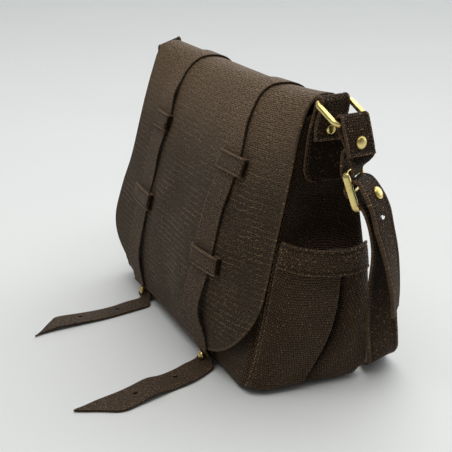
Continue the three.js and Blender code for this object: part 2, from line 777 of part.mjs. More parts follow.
// A rounded rectangular wire frame about a middle point, spread along two unit directions.
function wireFrame(middle, across, along, halfAcross, halfAlong) {
  const corner = 3.2;
  const sides = 8;
  const normal = new THREE.Vector3().crossVectors(across, along);
  const line = [];
  for (let quarter = 0; quarter < 4; quarter += 1) {
    const signA = quarter === 0 || quarter === 3 ? 1 : -1;
    const signB = quarter < 2 ? 1 : -1;
    for (let n = 0; n <= 2; n += 1) {
      const angle = (Math.PI / 2) * (quarter + n / 2);
      line.push({
        a: signA * (halfAcross - corner) + corner * Math.cos(angle),
        b: signB * (halfAlong - corner) + corner * Math.sin(angle),
        angle,
      });
    }
  }
  const points = [];
  const faces = [];
  line.forEach((at, i) => {
    const centre = middle.clone().addScaledVector(across, at.a).addScaledVector(along, at.b);
    const outward = across.clone().multiplyScalar(Math.cos(at.angle));
    outward.addScaledVector(along, Math.sin(at.angle));
    for (let k = 0; k < sides; k += 1) {
      const turn = (2 * Math.PI * (k + 0.5)) / sides;
      points.push(centre.clone()
        .addScaledVector(outward, wireRadius * Math.cos(turn))
        .addScaledVector(normal, wireRadius * Math.sin(turn)));
      const a = i * sides + k;
      const b = i * sides + ((k + 1) % sides);
      const c = ((i + 1) % line.length) * sides + ((k + 1) % sides);
      const d = ((i + 1) % line.length) * sides + k;
      faces.push([a, b, c]);
      faces.push([a, c, d]);
    }
  });
  return closedBody(points, faces);
}

// The right ring: from the ring tab's fold it points outward, a little back and down.
const ringInner = new THREE.Vector3(158.5, 10.5, 233.6);
const ringYaw = THREE.MathUtils.degToRad(12);
const ringDrop = THREE.MathUtils.degToRad(22);
const ringAlong = new THREE.Vector3(
  Math.cos(ringYaw) * Math.cos(ringDrop),
  Math.sin(ringYaw) * Math.cos(ringDrop),
  -Math.sin(ringDrop),
);

function ring() {
  const middle = ringInner.clone().addScaledVector(ringAlong, ringLength / 2);
  return wireFrame(middle, acrossAt(12), ringAlong, frameHalf, ringLength / 2);
}

// The slider: a frame with a middle bar, hanging below the connecting tab.
function slider() {
  const top = new THREE.Vector3(176, 19, 187);
  const across = acrossAt(sliderYaw);
  const lean = THREE.MathUtils.degToRad(sliderLean);
  const along = new THREE.Vector3(across.y * Math.sin(lean), -across.x * Math.sin(lean), -Math.cos(lean));
  const halfAlong = sliderLength / 2;
  const middle = top.clone().addScaledVector(along, halfAlong);
  const frame = wireFrame(middle, across, along, frameHalf, halfAlong);
  const bar = placed(new THREE.CylinderGeometry(1.8, 1.8, 2 * frameHalf, 8), middle, across);
  return fromManifold(toManifold(frame).add(toManifold(bar)));
}

// The middle of a band's outer face and the direction out of it, at one of its stations.
function faceAt(stations, i, thickness, outward) {
  const along = stations[i + 1].centre.clone().sub(stations[i - 1].centre).normalize();
  const axis = new THREE.Vector3().crossVectors(along, stations[i].across).normalize();
  if (axis.dot(outward) < 0) {
    axis.negate();
  }
  return { place: stations[i].centre.clone().addScaledVector(axis, thickness / 2), axis };
}

const leather = () => new THREE.MeshStandardMaterial({ color: 0x41362d, roughness: 0.75, metalness: 0 });
const brass = () => new THREE.MeshStandardMaterial({ color: 0xcdb878, roughness: 0.35, metalness: 1 });

const bag = new THREE.Group();

function addPiece(name, geometry, material) {
  const mesh = new THREE.Mesh(geometry, material);
  mesh.name = name;
  bag.add(mesh);
}

addPiece("front_panel", bodyPanel(9.2, lastRow, 10, 14), leather());
addPiece("back_panel", bodyPanel(0, 5.7, 8, 12), leather());
addPiece("gusset", gusset(), leather());
addPiece("flap", flap(), leather());

for (const [side, sign] of [["left", -1], ["right", 1]]) {
  addPiece(`side_pocket_${side}`, sidePocket(sign), leather());
  addPiece(`pocket_binding_${side}`, pocketBinding(sign), leather());
  addPiece(`flap_strap_${side}`, flapStrap(sign, tailRows[side]), leather());
  addPiece(`upper_keeper_${side}`, keeper(sign, upperKeeperRow), leather());
  addPiece(`lower_keeper_${side}`, keeper(sign, lowerKeeperRow), leather());
  addPiece(`stud_tab_${side}`, studTab(sign), leather());
  addPiece(`stud_${side}`, stud(sign), brass());
}

const rivetHole = 1.6 + gap;
const ringTabStations = stationsAlong(ringTabRows, tabWidth, 2);
const ringTabRivet = faceAt(ringTabStations, 24, tabThickness, toRight);
const ringTab = drilled(band(ringTabStations, tabThickness), rivetHole, 9, [ringTabRivet]);
addPiece("ring_tab_right", ringTab, leather());
addPiece("ring_tab_left", mirrored(ringTab), leather());
const ringTabPin = rivet(ringTabRivet.place, ringTabRivet.axis, 4, 4);
addPiece("ring_tab_rivet_right", ringTabPin, brass());
addPiece("ring_tab_rivet_left", mirrored(fromManifold(toManifold(ringTabPin))), brass());

const ringGeometry = ring();
addPiece("ring_right", ringGeometry, brass());
addPiece("ring_left", mirrored(ringGeometry), brass());

const linkStations = stationsAlong(linkRows, tabWidth, 2);
const linkRivet = faceAt(linkStations, 2, tabThickness, toRight);
addPiece("connecting_tab", drilled(band(linkStations, tabThickness), rivetHole, 9, [linkRivet]), leather());
addPiece("connecting_tab_rivet", rivet(linkRivet.place, linkRivet.axis, 4.8, 4), brass());
addPiece("slider", slider(), brass());

const shoulderStations = stationsAlong(shoulderRows, shoulderWidth, 2);
const rightRivet = faceAt(shoulderStations, 10, shoulderThickness, toRight);
const leftRivet = faceAt(shoulderStations, 74, shoulderThickness, toLeft);
const shoulderBand = band(shoulderStations, shoulderThickness);
addPiece("shoulder_strap", drilled(shoulderBand, rivetHole, 13, [rightRivet, leftRivet]), leather());
addPiece("strap_rivet_right", rivet(rightRivet.place, rightRivet.axis, 4.8, 2.4), brass());
addPiece("strap_rivet_left", rivet(leftRivet.place, leftRivet.axis, 4.8, 2.4), brass());

export default bag;
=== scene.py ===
import math

import bpy
import numpy as np
from mathutils import Matrix, Vector


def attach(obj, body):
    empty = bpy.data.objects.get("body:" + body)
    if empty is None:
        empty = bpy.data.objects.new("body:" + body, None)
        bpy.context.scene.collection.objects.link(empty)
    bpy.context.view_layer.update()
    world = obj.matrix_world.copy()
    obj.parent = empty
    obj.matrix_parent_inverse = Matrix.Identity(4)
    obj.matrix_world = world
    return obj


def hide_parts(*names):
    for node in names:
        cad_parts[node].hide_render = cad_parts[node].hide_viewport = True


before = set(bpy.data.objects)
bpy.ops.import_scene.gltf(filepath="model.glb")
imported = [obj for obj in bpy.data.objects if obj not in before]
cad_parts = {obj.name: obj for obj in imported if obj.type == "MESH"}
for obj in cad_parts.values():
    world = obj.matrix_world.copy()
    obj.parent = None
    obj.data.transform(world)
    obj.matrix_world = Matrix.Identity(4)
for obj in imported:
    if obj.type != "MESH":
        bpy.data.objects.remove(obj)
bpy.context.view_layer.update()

# Sizes are in millimetres, in the frame of the bag: +X to the viewer's right, -Y the front, +Z up.
MM = 0.001
# One unit of the leather's own map is a decimetre of leather.
MAP_UNIT = 100.0

# Body; a panel's top is a row number of the skin
HALF_WIDTH = 150.0
CORNER_RADIUS = 11.0
PANEL_THICKNESS = 2.0
GUSSET_THICKNESS = 2.0
SEAM_GAP = 1.2
PANEL_INSET = 5.0
FRONT_PANEL_TOP = 9.2
BACK_PANEL_TOP = 5.7
SEAM_ROLL = 2.6
SEAM_REACH = 6.0
GUSSET_TOP = 222.0
GUSSET_ARCH = 7.0
GUSSET_ARCH_FROM = 190.0
GUSSET_DENT = 9.0
GUSSET_DENT_FROM = 104.0
GUSSET_DENT_TO = 178.0
BASE_EDGE_LIFT = 3.5
FOOT_TURN = 3.5
FOOT_HEIGHT = 14.0
LEFT_END_FORWARD = 16.0

# Flap, flap straps, keepers and studs
FLAP_THICKNESS = 2.4
FLAP_START = 4.4
HEM_HEIGHT = 13.0
HEM_CORNER_START = 60.0
HEM_CORNER_RISE = 62.0
FLAP_HALF = 148.0
FLAP_LOOSE = 2.9
FLAP_LOOSE_ENDS = 2.7
FLAP_LOOSE_FROM = 100.0
# Heights over which the painted highlight on the ridge and upper flap rises.
SHEEN_FROM = 135.0
SHEEN_TO = 230.0
STRAP_THICKNESS = 1.6
KEEPER_WIDTH = 14.5
KEEPER_THICKNESS = 1.8
STUD_X = 80.5
STUD_HEIGHT = 7.5
STUD_NECK_RADIUS = 1.9
STUD_HEAD_RADIUS = 3.9
STUD_HEAD_HALF = 2.5
STUD_TAB_OFF = 0.8
STUD_TAB_WIDTH = 18.0
STUD_TAB_TOP = 26.0
STUD_TAB_FOOT = 4.4
HOLE_RADIUS = 1.9
STUD_HOLE_RADIUS = 2.4

# Side pockets
POCKET_THICKNESS = 1.5
POCKET_FOOT = 7.0
PLEAT_DEPTH = 9.2
PLEAT_STEP = 2.3
BINDING_HEIGHT = 20.5
MOUTH_HEIGHT = 118.0

# Rings, slider and shoulder strap
RING_LENGTH = 26.0
RING_BAR = 2.2
RING_CORNER = 4.4
# Rings: place of the upper bar, its yaw and roll, the frame's drop in degrees, half its width.
RINGS = {
    "left": ((-157.0, -2.5, 224.5), 0, 9, 70, 16.2),
    "right": ((159.0, 10.0, 236.2), 13, 0, 28, 16.0),
}
SLIDER_TOP = (176.0, 19.0, 187.0)
SLIDER_BAR = 1.8
SLIDER_CORNER = 3.4
SLIDER_HALF = 14.5
SLIDER_LENGTH = 28.6
SLIDER_YAW = 42.0
SLIDER_LEAN = 20.3
TAB_THICKNESS = 1.8
SHOULDER_THICKNESS = 2.8
STRAP_HOLE_RADIUS = 1.6
TAB_RIVET_RADIUS = 4.0
STRAP_RIVET_RADIUS = 4.8
RIVET_SHARP_ANGLE = 40.0
GAP = 0.4

# A sheet's rounded cut edge: steps around it, and its reach as a share of half the thickness.
EDGE_STEPS = 3
EDGE_ROUND = 0.85
# How much closer together a band's columns lie at its edges than in its middle, from 0 to 1.
BAND_SPREAD = 0.7
# Points around a punched hole, a stud and a brass bar.
HOLE_SIDES = 20
STUD_SIDES = 36
BAR_SIDES = 20
# How far from the cut the leather is rubbed pale, or dyed dark.
RUBBED_REACH = 1.1
DYED_REACH = 0.3
# A stitched seam: the lip along the edge, and the groove that the stitches lie in; the
# groove gets painted shade.
LIP_HEIGHT = 0.3
LIP_WIDTH = 0.8
GROOVE_DEPTH = 0.32
GROOVE_WIDTH = 0.75
GROOVE_SHADE = 0.4
# Stitches: spacing, length, thickness.
KEEPER_STITCH = (2.9, 1.9, 0.95)
BINDING_STITCH = (3.4, 2.2, 0.9)
TAB_STITCH = (3.0, 2.1, 0.85)
SHOULDER_STITCH = (3.5, 2.3, 0.85)
STITCH_LIFT = 0.12
# Seams along the edges of the tabs and the shoulder strap.
EDGE_SEAM = 2.5
SIDE_SEAMS = (("left", EDGE_SEAM), ("right", EDGE_SEAM))
# Grid rows from one table row to the next.
TAB_STEPS = 6
SHOULDER_STEPS = 7

# The body's skin from back to front: row name, depth at the left end, middle and right end, height
# at the ends and middle.
SKIN_ROWS = [
    ("back foot", 56, 56, 55, 4, 4),
    ("back low", 55, 58, 54.5, 45, 45),
    ("back belly", 50, 56.5, 52, 95, 95),
    ("back waist", 40, 48.5, 45.5, 138, 138),
    ("back upper", 27, 37.5, 37.5, 178, 178),
    ("back shoulder", 14.5, 25.5, 29, 214, 212),
    ("ridge back", 7.5, 18, 23.5, 232, 228),
    ("ridge top", -6, 5, 11, 238, 233),
    ("ridge front", -18.5, -7, -1, 232.5, 228.5),
    ("front shoulder", -26, -18, -9, 213, 211),
    ("front upper", -37, -33.5, -17, 174, 174),
    ("front waist", -47.9, -48, -26.5, 130, 130),
    ("front belly", -57, -57.5, -33, 97, 97),
    ("front low", -63.5, -59.5, -40.5, 55, 55),
    ("front hem", -61, -58, -47, 25, 25),
    ("front foot", -57.5, -56, -54.5, 4, 4),
]
LAST_ROW = len(SKIN_ROWS) - 1
RIDGE_ROW = 7
LEFT_LINE = np.array([(row[1], row[4]) for row in SKIN_ROWS], float)
MID_LINE = np.array([(row[2], row[5]) for row in SKIN_ROWS], float)
RIGHT_LINE = np.array([(row[3], row[4]) for row in SKIN_ROWS], float)

# A pocket's mouth: share of the depth from front to back, height of the binding's top.
MOUTH_ROWS = np.array([(0, 128), (0.25, 122.5), (0.5, 119.3), (0.75, 118.3), (1, 120.2)], float)
# A pocket's pleat: height, share of the depth from front to back.
FOLD_ROWS = np.array(
    [(5, 0.43), (19, 0.48), (33, 0.53), (52, 0.59), (71, 0.63), (130, 0.67)], float)

# A flap strap on the flap, from row 4 to row 15: place of the middle line, width.
STRAP_LINES = {
    "left": [
        (-79, 27), (-78, 27), (-77, 27), (-77, 27), (-85.5, 27), (-92, 27), (-86, 27),
        (-83.5, 26.5), (-80, 25.5), (-83, 24), (-86, 23), (-80.5, 22),
    ],
    "right": [
        (76, 29), (76, 29), (76, 29), (74.5, 29), (65.5, 29), (64.5, 29), (73, 29), (72, 29),
        (73, 28.5), (70, 27), (75, 25.5), (80.5, 24.5),
    ],
}
# Where the flap swells outward: place, row number, reach across, reach in rows, rise.
FLAP_SWELLS = [(-150, 12.35, 58, 0.75, 2.8), (-38, 11.5, 20, 1.3, 2.4), (26, 12.9, 24, 1.0, 1.6)]
# Where a flap strap stands off the flap: row number, height, reach in rows.
STRAP_ARCHES = {
    "left": [(9.4, 2.6, 0.28), (10.6, 2.2, 0.4), (13.2, 3.0, 0.8), (14.7, 0.9, 0.3)],
    "right": [(9.3, 1.2, 0.35), (10.9, 1.5, 0.5), (13.08, 5.0, 0.57), (14.7, 1.0, 0.3)],
}
# Keepers: row number, name, reach to the left and to the right of the strap's middle line.
KEEPERS = {
    "left": [(10.02, "upper", 18.5, 18), (11.85, "lower", 24, 24)],
    "right": [(10.06, "upper", 19, 26.5), (12.12, "lower", 19.5, 27)],
}
# A flap strap's tail on the table: far edge x and y, near edge x and y, rise.
TAIL_ROWS = {
    "left": [
        (-75.5, -68.5, -53.6, -67.5, 0), (-69, -85, -47.4, -84.5, 0.4),
        (-63.3, -101.3, -42.5, -101, 0), (-59, -119, -38.2, -118.7, 0.3),
        (-55.9, -136, -35.2, -136, 1.2), (-53.4, -157, -31.4, -158.6, 2.0),
        (-47, -164, -30.2, -166, 1.6), (-36, -173, -28, -174.5, 0.6),
        (-24.4, -183, -23.6, -184, 0),
    ],
    "right": [
        (75, -70, 101, -66.5, 0), (81, -80, 108.5, -77, 0.6),
        (88.8, -92.2, 114.5, -88.5, 1.0), (92.6, -106, 119.5, -103, 0),
        (98.6, -119.9, 126, -118, 2.6), (104.5, -136, 133.5, -136.5, 0.8),
        (109.5, -150, 138.6, -152.5, 0), (116.7, -169, 131.6, -169.5, 0),
        (123.6, -185.6, 124.8, -186.6, 0),
    ],
}
TAIL_HOLES = {
    "left": [(-54.5, -98.5), (-47, -136.5)],
    "right": [(101.5, -95.5), (118, -135)],
}

# A ring tab from its shield to its stitched end: x, y, z, yaw, width.
RING_TAB_ROWS = [
    (151.4, 10, 173.3, 0, 17), (151.4, 10, 174, 0, 24.5), (151.4, 10, 175.3, 0, 29.6),
    (151.4, 10, 177.6, 0, 33.4), (151.4, 10, 181.4, 0, 35.6), (151.4, 10, 186, 0, 36),
    (151.4, 10, 206, 0, 32), (151.8, 10.2, 220, 2, 28), (153.4, 10.2, 229, 6, 26),
    (155, 10, 236.8, 12, 26), (157, 10, 239.8, 12, 26), (160.8, 10, 239.8, 12, 26),
    (162.8, 10.2, 236.4, 12, 26), (160, 10.6, 229, 8, 26), (156, 10.8, 221, 2, 25.5),
    (154.2, 11, 214, 0, 25), (154.1, 11, 205.6, 0, 25),
]
RING_TAB_RIVET = 15
# How much of the left tab's lean each of its rows takes.
LEFT_FOLD = [0, 0, 0, 0, 0, 0, 0, 0.3, 0.7, 1, 1, 1, 1, 0.8, 0.5, 0.2, 0]

# The connecting tab around the ring and the slider's top bar: x, y, z, yaw, width.
LINK_ROWS = [
    (187.4, 20.4, 200.6, 12, 25), (187, 18.4, 210.4, 12, 25), (186.2, 16.4, 219, 12, 25.5),
    (184.8, 15.6, 225.4, 13, 25.5), (182.8, 15.2, 229.6, 13, 25.5), (179.2, 14.6, 229.6, 13, 25.5),
    (177.2, 14.2, 225.4, 13, 25.5), (180.2, 16.2, 217, 12, 25.5), (183.2, 19.2, 208, 12, 25),
    (183.4, 22, 199.5, 12, 24.5), (182, 23, 194.5, 26, 24), (179.2, 21.9, 188.5, 42, 23.5),
    (178.6, 21.3, 184.4, 42, 23.5), (176, 19, 182.6, 42, 23.5), (173.4, 16.7, 184.4, 42, 23.5),
    (172.8, 16.1, 188.5, 42, 23.5), (173.6, 17, 196, 36, 23.5), (176, 18, 203, 26, 23.5),
]
LINK_RIVET = 1

# The shoulder strap from its turned-back end to the left ring: x, y, z, yaw, roll, width.
SHOULDER_ROWS = [
    (188.4, 56.2, 72, 52, 0, 25), (189.6, 54.4, 90, 48, 0, 25), (193.6, 46.6, 120, 38, 0, 24.5),
    (196.6, 37.4, 145, 30, 0, 24), (197, 33.6, 158, 29, 0, 24), (195.6, 30.4, 167, 30, 0, 24),
    (191.4, 27.2, 175.2, 33, 0, 24), (185, 25.2, 180.4, 37, 0, 24),
    (179.8, 22.4, 180.6, 41, 0, 24), (176.6, 19.6, 177.6, 42, 0, 24),
    (175.8, 18.9, 173.6, 42, 0, 24), (177, 20, 169.8, 42, 0, 24),
    (180.6, 23, 167.4, 41, 0, 24), (185.6, 27, 163.6, 37, 0, 24), (189.4, 31.2, 156.5, 32, 0, 24),
    (190, 36.4, 143, 30, 0, 24.5), (183.4, 44.6, 123, 26, 0, 25.5),
    (172.8, 52.2, 100, 18, 0, 26.6),
    (165.8, 56.8, 78, 9, 0, 27.6), (162, 60.6, 52, 4, 8, 28), (158.6, 64.8, 32.4, 2, 18, 28),
    (152, 69.6, 17, 0, 22, 28), (139, 73.4, 8.2, 0, 13, 27.5), (120, 77, 2.8, 0, 2, 27),
    (96, 79.5, 1.8, 0, 0, 27), (20, 82, 1.8, 0, 0, 26), (-80, 82, 1.8, 0, 0, 25),
    (-180, 82, 1.8, 0, 0, 24), (-262, 81, 1.8, 0, 0, 24), (-290, 79, 3.2, 0, 0, 24),
    (-309, 75, 11, 0, 0, 24), (-317, 68, 28, 0, 0, 24), (-310, 58, 56, 0, 0, 24),
    (-290, 44, 91, 0, 0, 24), (-259, 29, 126, -4, 0, 24), (-226, 13, 157, -4, 0, 24),
    (-199, 4.4, 180, 0, 3, 24), (-182, 1.8, 193, 0, 6, 24), (-172.6, 1.3, 200.4, 0, 8, 24),
    (-169, 1.2, 204, 0, 9, 24), (-164.8, 1.2, 204.4, 0, 9, 24), (-161.8, 1.2, 200.3, 0, 9, 24),
    (-164.9, 1.2, 195.9, 0, 9, 24), (-176, 2.2, 187, 0, 6, 24), (-191, 5, 176, 0, 3, 24),
]
RIGHT_STRAP_RIVET = 5.5
LEFT_STRAP_RIVET = 37
STRAP_HOLE = 3.65
STRAP_HOLE_AXIS = (0.815, -0.496, 0.301)


def unit(vectors):
    """Vectors at length one."""
    vectors = np.asarray(vectors, float)
    return vectors / np.maximum(np.linalg.norm(vectors, axis=-1, keepdims=True), 1e-9)


def ease(value):
    t = np.clip(value, 0, 1)
    return t * t * (3 - 2 * t)


def smooth_line(points, place):
    """A smooth line through table rows, at row numbers that need not be whole."""
    points = np.asarray(points, float)
    last = len(points) - 1
    place = np.clip(np.asarray(place, float), 0, last)
    i = np.minimum(np.floor(place).astype(int), last - 1)
    w = (place - i)[..., None]
    extended = np.vstack([2 * points[:1] - points[1:2], points, 2 * points[-1:] - points[-2:-1]])
    p0, p1, p2, p3 = (extended[i + k] for k in range(4))
    m1 = (p2 - p0) / 2
    m2 = (p3 - p1) / 2
    return (
        (2 * w**3 - 3 * w**2 + 1) * p1
        + (w**3 - 2 * w**2 + w) * m1
        + (3 * w**2 - 2 * w**3) * p2
        + (w**3 - w**2) * m2
    )


def spread(count, fine):
    """Places from 0 to 1 that lie closer together at both ends; fine is from 0, even, to 1."""
    even = np.linspace(0, 1, count)
    return even * (1 - fine) + fine * (1 - np.cos(np.pi * even)) / 2


def skin(x, row):
    """Points of the body's skin at places along the width and row numbers from back to front."""
    x, row = np.broadcast_arrays(np.asarray(x, float), np.asarray(row, float))
    crown = (1 - np.abs(x / HALF_WIDTH) ** 3)[..., None]
    end = np.where((x < 0)[..., None], smooth_line(LEFT_LINE, row), smooth_line(RIGHT_LINE, row))
    depth_height = end * (1 - crown) + smooth_line(MID_LINE, row) * crown
    return np.concatenate([x[..., None], depth_height], -1)


def skin_normal(x, row):
    step = 0.02
    along_row = skin(x, np.minimum(LAST_ROW, row + step)) - skin(x, np.maximum(0, row - step))
    along_x = skin(x + step, row) - skin(x - step, row)
    return unit(np.cross(along_row, along_x))


def off_skin(x, row, distance):
    x, row, distance = np.broadcast_arrays(*(np.asarray(v, float) for v in (x, row, distance)))
    return skin(x, row) + skin_normal(x, row) * distance[..., None]


def row_at_height(x, height, front):
    """The row number where the front or back of the skin reaches a height."""
    x, height = np.broadcast_arrays(np.asarray(x, float), np.asarray(height, float))
    low = np.full(x.shape, float(RIDGE_ROW))
    high = np.full(x.shape, float(LAST_ROW if front else 0))
    for _ in range(30):
        middle = (low + high) / 2
        above = skin(x, middle)[..., 2] > height
        low = np.where(above, middle, low)
        high = np.where(above, high, middle)
    return (low + high) / 2


def edge_y(height, front, side):
    """The depth of an end wall's front or back edge at a height."""
    x = side * HALF_WIDTH
    return skin(x, row_at_height(x, height, front))[..., 1]


def half_width_at(height):
    drop = np.clip(CORNER_RADIUS - np.asarray(height, float), 0, CORNER_RADIUS)
    return HALF_WIDTH - CORNER_RADIUS + np.sqrt(CORNER_RADIUS**2 - drop**2)


def across_at(yaw, roll):
    """The direction across a band that is turned by a yaw about +Z and a roll about its run."""
    a, b = np.radians(yaw), np.radians(roll)
    return np.stack([-np.sin(a) * np.cos(b), np.cos(a) * np.cos(b), np.sin(b)], -1)


# Meshes


def link_mesh(name, mesh):
    piece = bpy.data.objects.new(name, mesh)
    bpy.context.scene.collection.objects.link(piece)
    return piece


def outward_faces(points, faces):
    """The faces of a closed body, turned so that they look outward."""
    triangles = np.array([(f[0], f[k], f[k + 1]) for f in faces for k in range(1, len(f) - 1)])
    a, b, c = (points[triangles[:, k]] for k in range(3))
    volume = (a * np.cross(b, c)).sum()
    return faces if volume > 0 else [tuple(reversed(f)) for f in faces]


def plain_mesh(name, points, faces, finish):
    """A smooth closed piece from points in millimetres."""
    points = np.asarray(points, float)
    mesh = bpy.data.meshes.new(name)
    mesh.from_pydata((points * MM).tolist(), [], outward_faces(points, faces))
    mesh.polygons.foreach_set("use_smooth", [True] * len(mesh.polygons))
    mesh.materials.append(finish)
    return mesh


def tube_faces(rows, loop, closed):
    """Quads between loops of points; closed joins the last loop to the first."""
    faces = []
    for i in range(rows if closed else rows - 1):
        a, b = i * loop, ((i + 1) % rows) * loop
        faces += [(a + j, a + (j + 1) % loop, b + (j + 1) % loop, b + j) for j in range(loop)]
    return faces


def lathe(profile, place, axis, start, segments):
    """A body turned about an axis: radius and height rows; start sets where its rings begin."""
    axis = unit(axis)
    side = unit(np.cross(axis, start))
    up = np.cross(axis, side)
    angles = 2 * np.pi * np.arange(segments) / segments
    ring = np.cos(angles)[:, None] * side + np.sin(angles)[:, None] * up
    points = np.concatenate([np.asarray(place) + axis * h + ring * r for r, h in profile])
    last = (len(profile) - 1) * segments
    caps = [tuple(range(segments - 1, -1, -1)), tuple(range(last, last + segments))]
    return points, tube_faces(len(profile), segments, False) + caps


def joined(bodies):
    """The points and faces of several bodies as one."""
    points, faces = np.empty((0, 3)), []
    for more_points, more_faces in bodies:
        faces += [tuple(len(points) + k for k in face) for face in more_faces]
        points = np.concatenate([points, more_points])
    return points, faces


def distance_along(grid, axis):
    """The distance of a grid's points from the first one, along its rows (0) or columns (1)."""
    step = np.linalg.norm(np.diff(grid, axis=axis), axis=2)
    return np.concatenate([np.zeros_like(step.take([0], axis)), np.cumsum(step, axis=axis)], axis)


class Sheet:
    """One face of a leather sheet as a grid, kept to lay stitches on it."""

    def __init__(self, face, normal):
        self.face = face
        self.normal = normal

    def lane(self, inset, side, lift):
        """Points along the rows, at a distance from the first (-1) or last (1) column."""
        order = slice(None, None, -side)
        grid = self.face[:, order]
        raised = grid + lift * self.normal[:, order]
        return np.array([
            [np.interp(inset, reach, row[:, k]) for k in range(3)]
            for reach, row in zip(distance_along(grid, 1), raised)])

    def rung(self, inset, end, lift):
        """Points along the columns, at a distance from the first (-1) or last (1) row."""
        turned = Sheet(self.face.transpose(1, 0, 2), self.normal.transpose(1, 0, 2))
        return turned.lane(inset, end, lift)

    def part(self, from_row, to_row):
        return Sheet(self.face[from_row:to_row], self.normal[from_row:to_row])


def leather_sheet(name, mid, thickness, finish, flip=False, seams=(), painted_shade=0.0, painted_sheen=0.0):
    """A closed sheet of leather with rounded edges about a grid of middle points.

    The grid has rows, columns and xyz. Seams are (edge, inset) pairs with a raised lip and a
    stitched groove, which gets painted shade; the edge is left, right, start or end. The map named
    leather runs in decimetres along the sheet, the attribute edge is 1 at the cut, and a second
    attribute is 1 where shade is painted dark into the leather. A highlight share adds to edge, to
    paint a highlight as paler, rubbed-looking leather away from the cut. Gives the piece and its
    two faces.
    """
    mid = np.asarray(mid, float)
    rows, columns = mid.shape[:2]
    half = thickness / 2
    along = unit(np.gradient(mid, axis=0))
    across = unit(np.gradient(mid, axis=1))
    normal = unit(np.cross(along, across)) * (-1 if flip else 1)

    u, v = distance_along(mid, 1), distance_along(mid, 0)
    near = {"left": u, "right": u[:, -1:] - u, "start": v, "end": v[-1:] - v}
    to_edge = np.minimum.reduce(list(near.values()))
    shade_share, rubbed_and_sheen = (np.broadcast_to(share, (rows, columns)) for share in (painted_shade, painted_sheen))
    raised = np.zeros((rows, columns))
    for edge_name, inset in seams:
        lip = np.exp(-(((near[edge_name] - LIP_WIDTH) / LIP_WIDTH) ** 2))
        groove = np.exp(-(((near[edge_name] - inset) / GROOVE_WIDTH) ** 2))
        raised = raised + LIP_HEIGHT * lip - GROOVE_DEPTH * groove
        shade_share = np.maximum(shade_share, GROOVE_SHADE * groove)
    u = u - u[:, columns // 2 : columns // 2 + 1]

    # Rounded rows are added at the start and the end.
    turns = np.pi / 2 * np.arange(1, EDGE_STEPS) / EDGE_STEPS
    added = len(turns)
    index = np.concatenate([np.zeros(added, int), np.arange(rows), np.full(added, rows - 1)])
    turn = np.concatenate([turns[::-1], np.zeros(rows), turns])
    sign = np.where(np.arange(len(turn)) < added, -1.0, 1.0)
    slide = (sign * np.sin(turn) * half * EDGE_ROUND)[:, None, None]
    thin = (np.cos(turn) * half)[:, None, None]
    swell = (raised[index] * (turn == 0)[:, None])[..., None]
    middle = mid[index] + along[index] * slide
    face = normal[index]
    outer = middle + face * (thin + swell)
    inner = middle - face * (thin + swell)

    # Each row of points runs over the outer face, around one rim, back on the inner face and
    # around the other rim.
    loops = [outer]
    for column, outward in ((columns - 1, 1), (0, -1)):
        run = unit(np.gradient(middle[:, column], axis=0))
        away = unit(np.cross(face[:, column], run))
        away *= np.sign((away * across[index, column]).sum(-1, keepdims=True)) * outward
        angles = (np.pi * np.arange(1, EDGE_STEPS + 1) / (EDGE_STEPS + 1))[::outward]
        reach = thin[:, 0] + swell[:, column]
        rim = np.stack([
            middle[:, column]
            + reach * (np.cos(t) * face[:, column] + np.sin(t) * EDGE_ROUND * away)
            for t in angles
        ], 1)
        loops += [rim, inner[:, ::-1]] if outward > 0 else [rim]
    points = np.concatenate(loops, 1)
    loop = points.shape[1]
    column_of = np.concatenate([
        np.arange(columns), np.full(EDGE_STEPS, columns - 1), np.arange(columns)[::-1],
        np.zeros(EDGE_STEPS, int)])

    faces = tube_faces(len(turn), loop, False)
    inside = columns + EDGE_STEPS
    for row in (0, (len(turn) - 1) * loop):
        inner_at = [row + inside + columns - 1 - j for j in range(columns)]
        cap = [(row + j, row + j + 1, inner_at[j + 1], inner_at[j]) for j in range(columns - 1)]
        cap.append((row + columns - 1, *range(row + columns, row + inside), inner_at[-1]))
        cap.append((inner_at[0], *range(row + inside + columns, row + loop), row))
        faces += cap if row else [tuple(reversed(f)) for f in cap]

    mesh = plain_mesh(name, points.reshape(-1, 3), faces, finish)
    grid_u, grid_v, grid_edge, grid_shade, grid_sheen = (
        g[index][:, column_of].reshape(-1) for g in (u, v, to_edge, shade_share, rubbed_and_sheen))
    on_rim = np.isin(np.arange(loop), [*range(columns, inside), *range(inside + columns, loop)])
    cut = (on_rim[None] | (turn > 0)[:, None]).reshape(-1)
    corner = np.zeros(len(mesh.loops), np.int32)
    mesh.loops.foreach_get("vertex_index", corner)
    layer = mesh.uv_layers.new(name="leather")
    layer.data.foreach_set("uv", (np.stack([grid_u, grid_v], -1) / MAP_UNIT)[corner].ravel())
    edge_reach = DYED_REACH if finish in DYED_LEATHERS else RUBBED_REACH
    edge = np.maximum(grid_sheen, np.exp(-((grid_edge / edge_reach) ** 2)))
    for label, values in (
        ("edge", np.where(cut, 1.0, edge)),
        ("painted_shade", np.where(cut, 0.0, grid_shade)),
    ):
        mesh.attributes.new(label, "FLOAT", "POINT").data.foreach_set("value", values)
    body = slice(added, added + rows)
    return link_mesh(name, mesh), Sheet(outer[body], face[body]), Sheet(inner[body], -face[body])


def band_grid(stations, columns, steps):
    """A grid about a band's stations (centre, across, width), with steps between them."""
    table = np.array([[*c, *a, w] for c, a, w in stations], float)
    line = smooth_line(table, np.linspace(0, len(table) - 1, (len(table) - 1) * steps + 1))
    reach = (spread(columns, BAND_SPREAD) - 0.5)[None, :, None]
    return line[:, None, :3] + unit(line[:, None, 3:6]) * line[:, None, 6:7] * reach


def table_row(grid, steps):
    """The table row of each row of a band's grid."""
    return np.arange(len(grid))[:, None] / steps


def settle(piece, slot, *nodes):
    """Ties a finished piece to the body and hides the solids it stands for; slot is not used."""
    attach(piece, "root")
    if nodes:
        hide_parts(*nodes)
    return piece


# Node trees


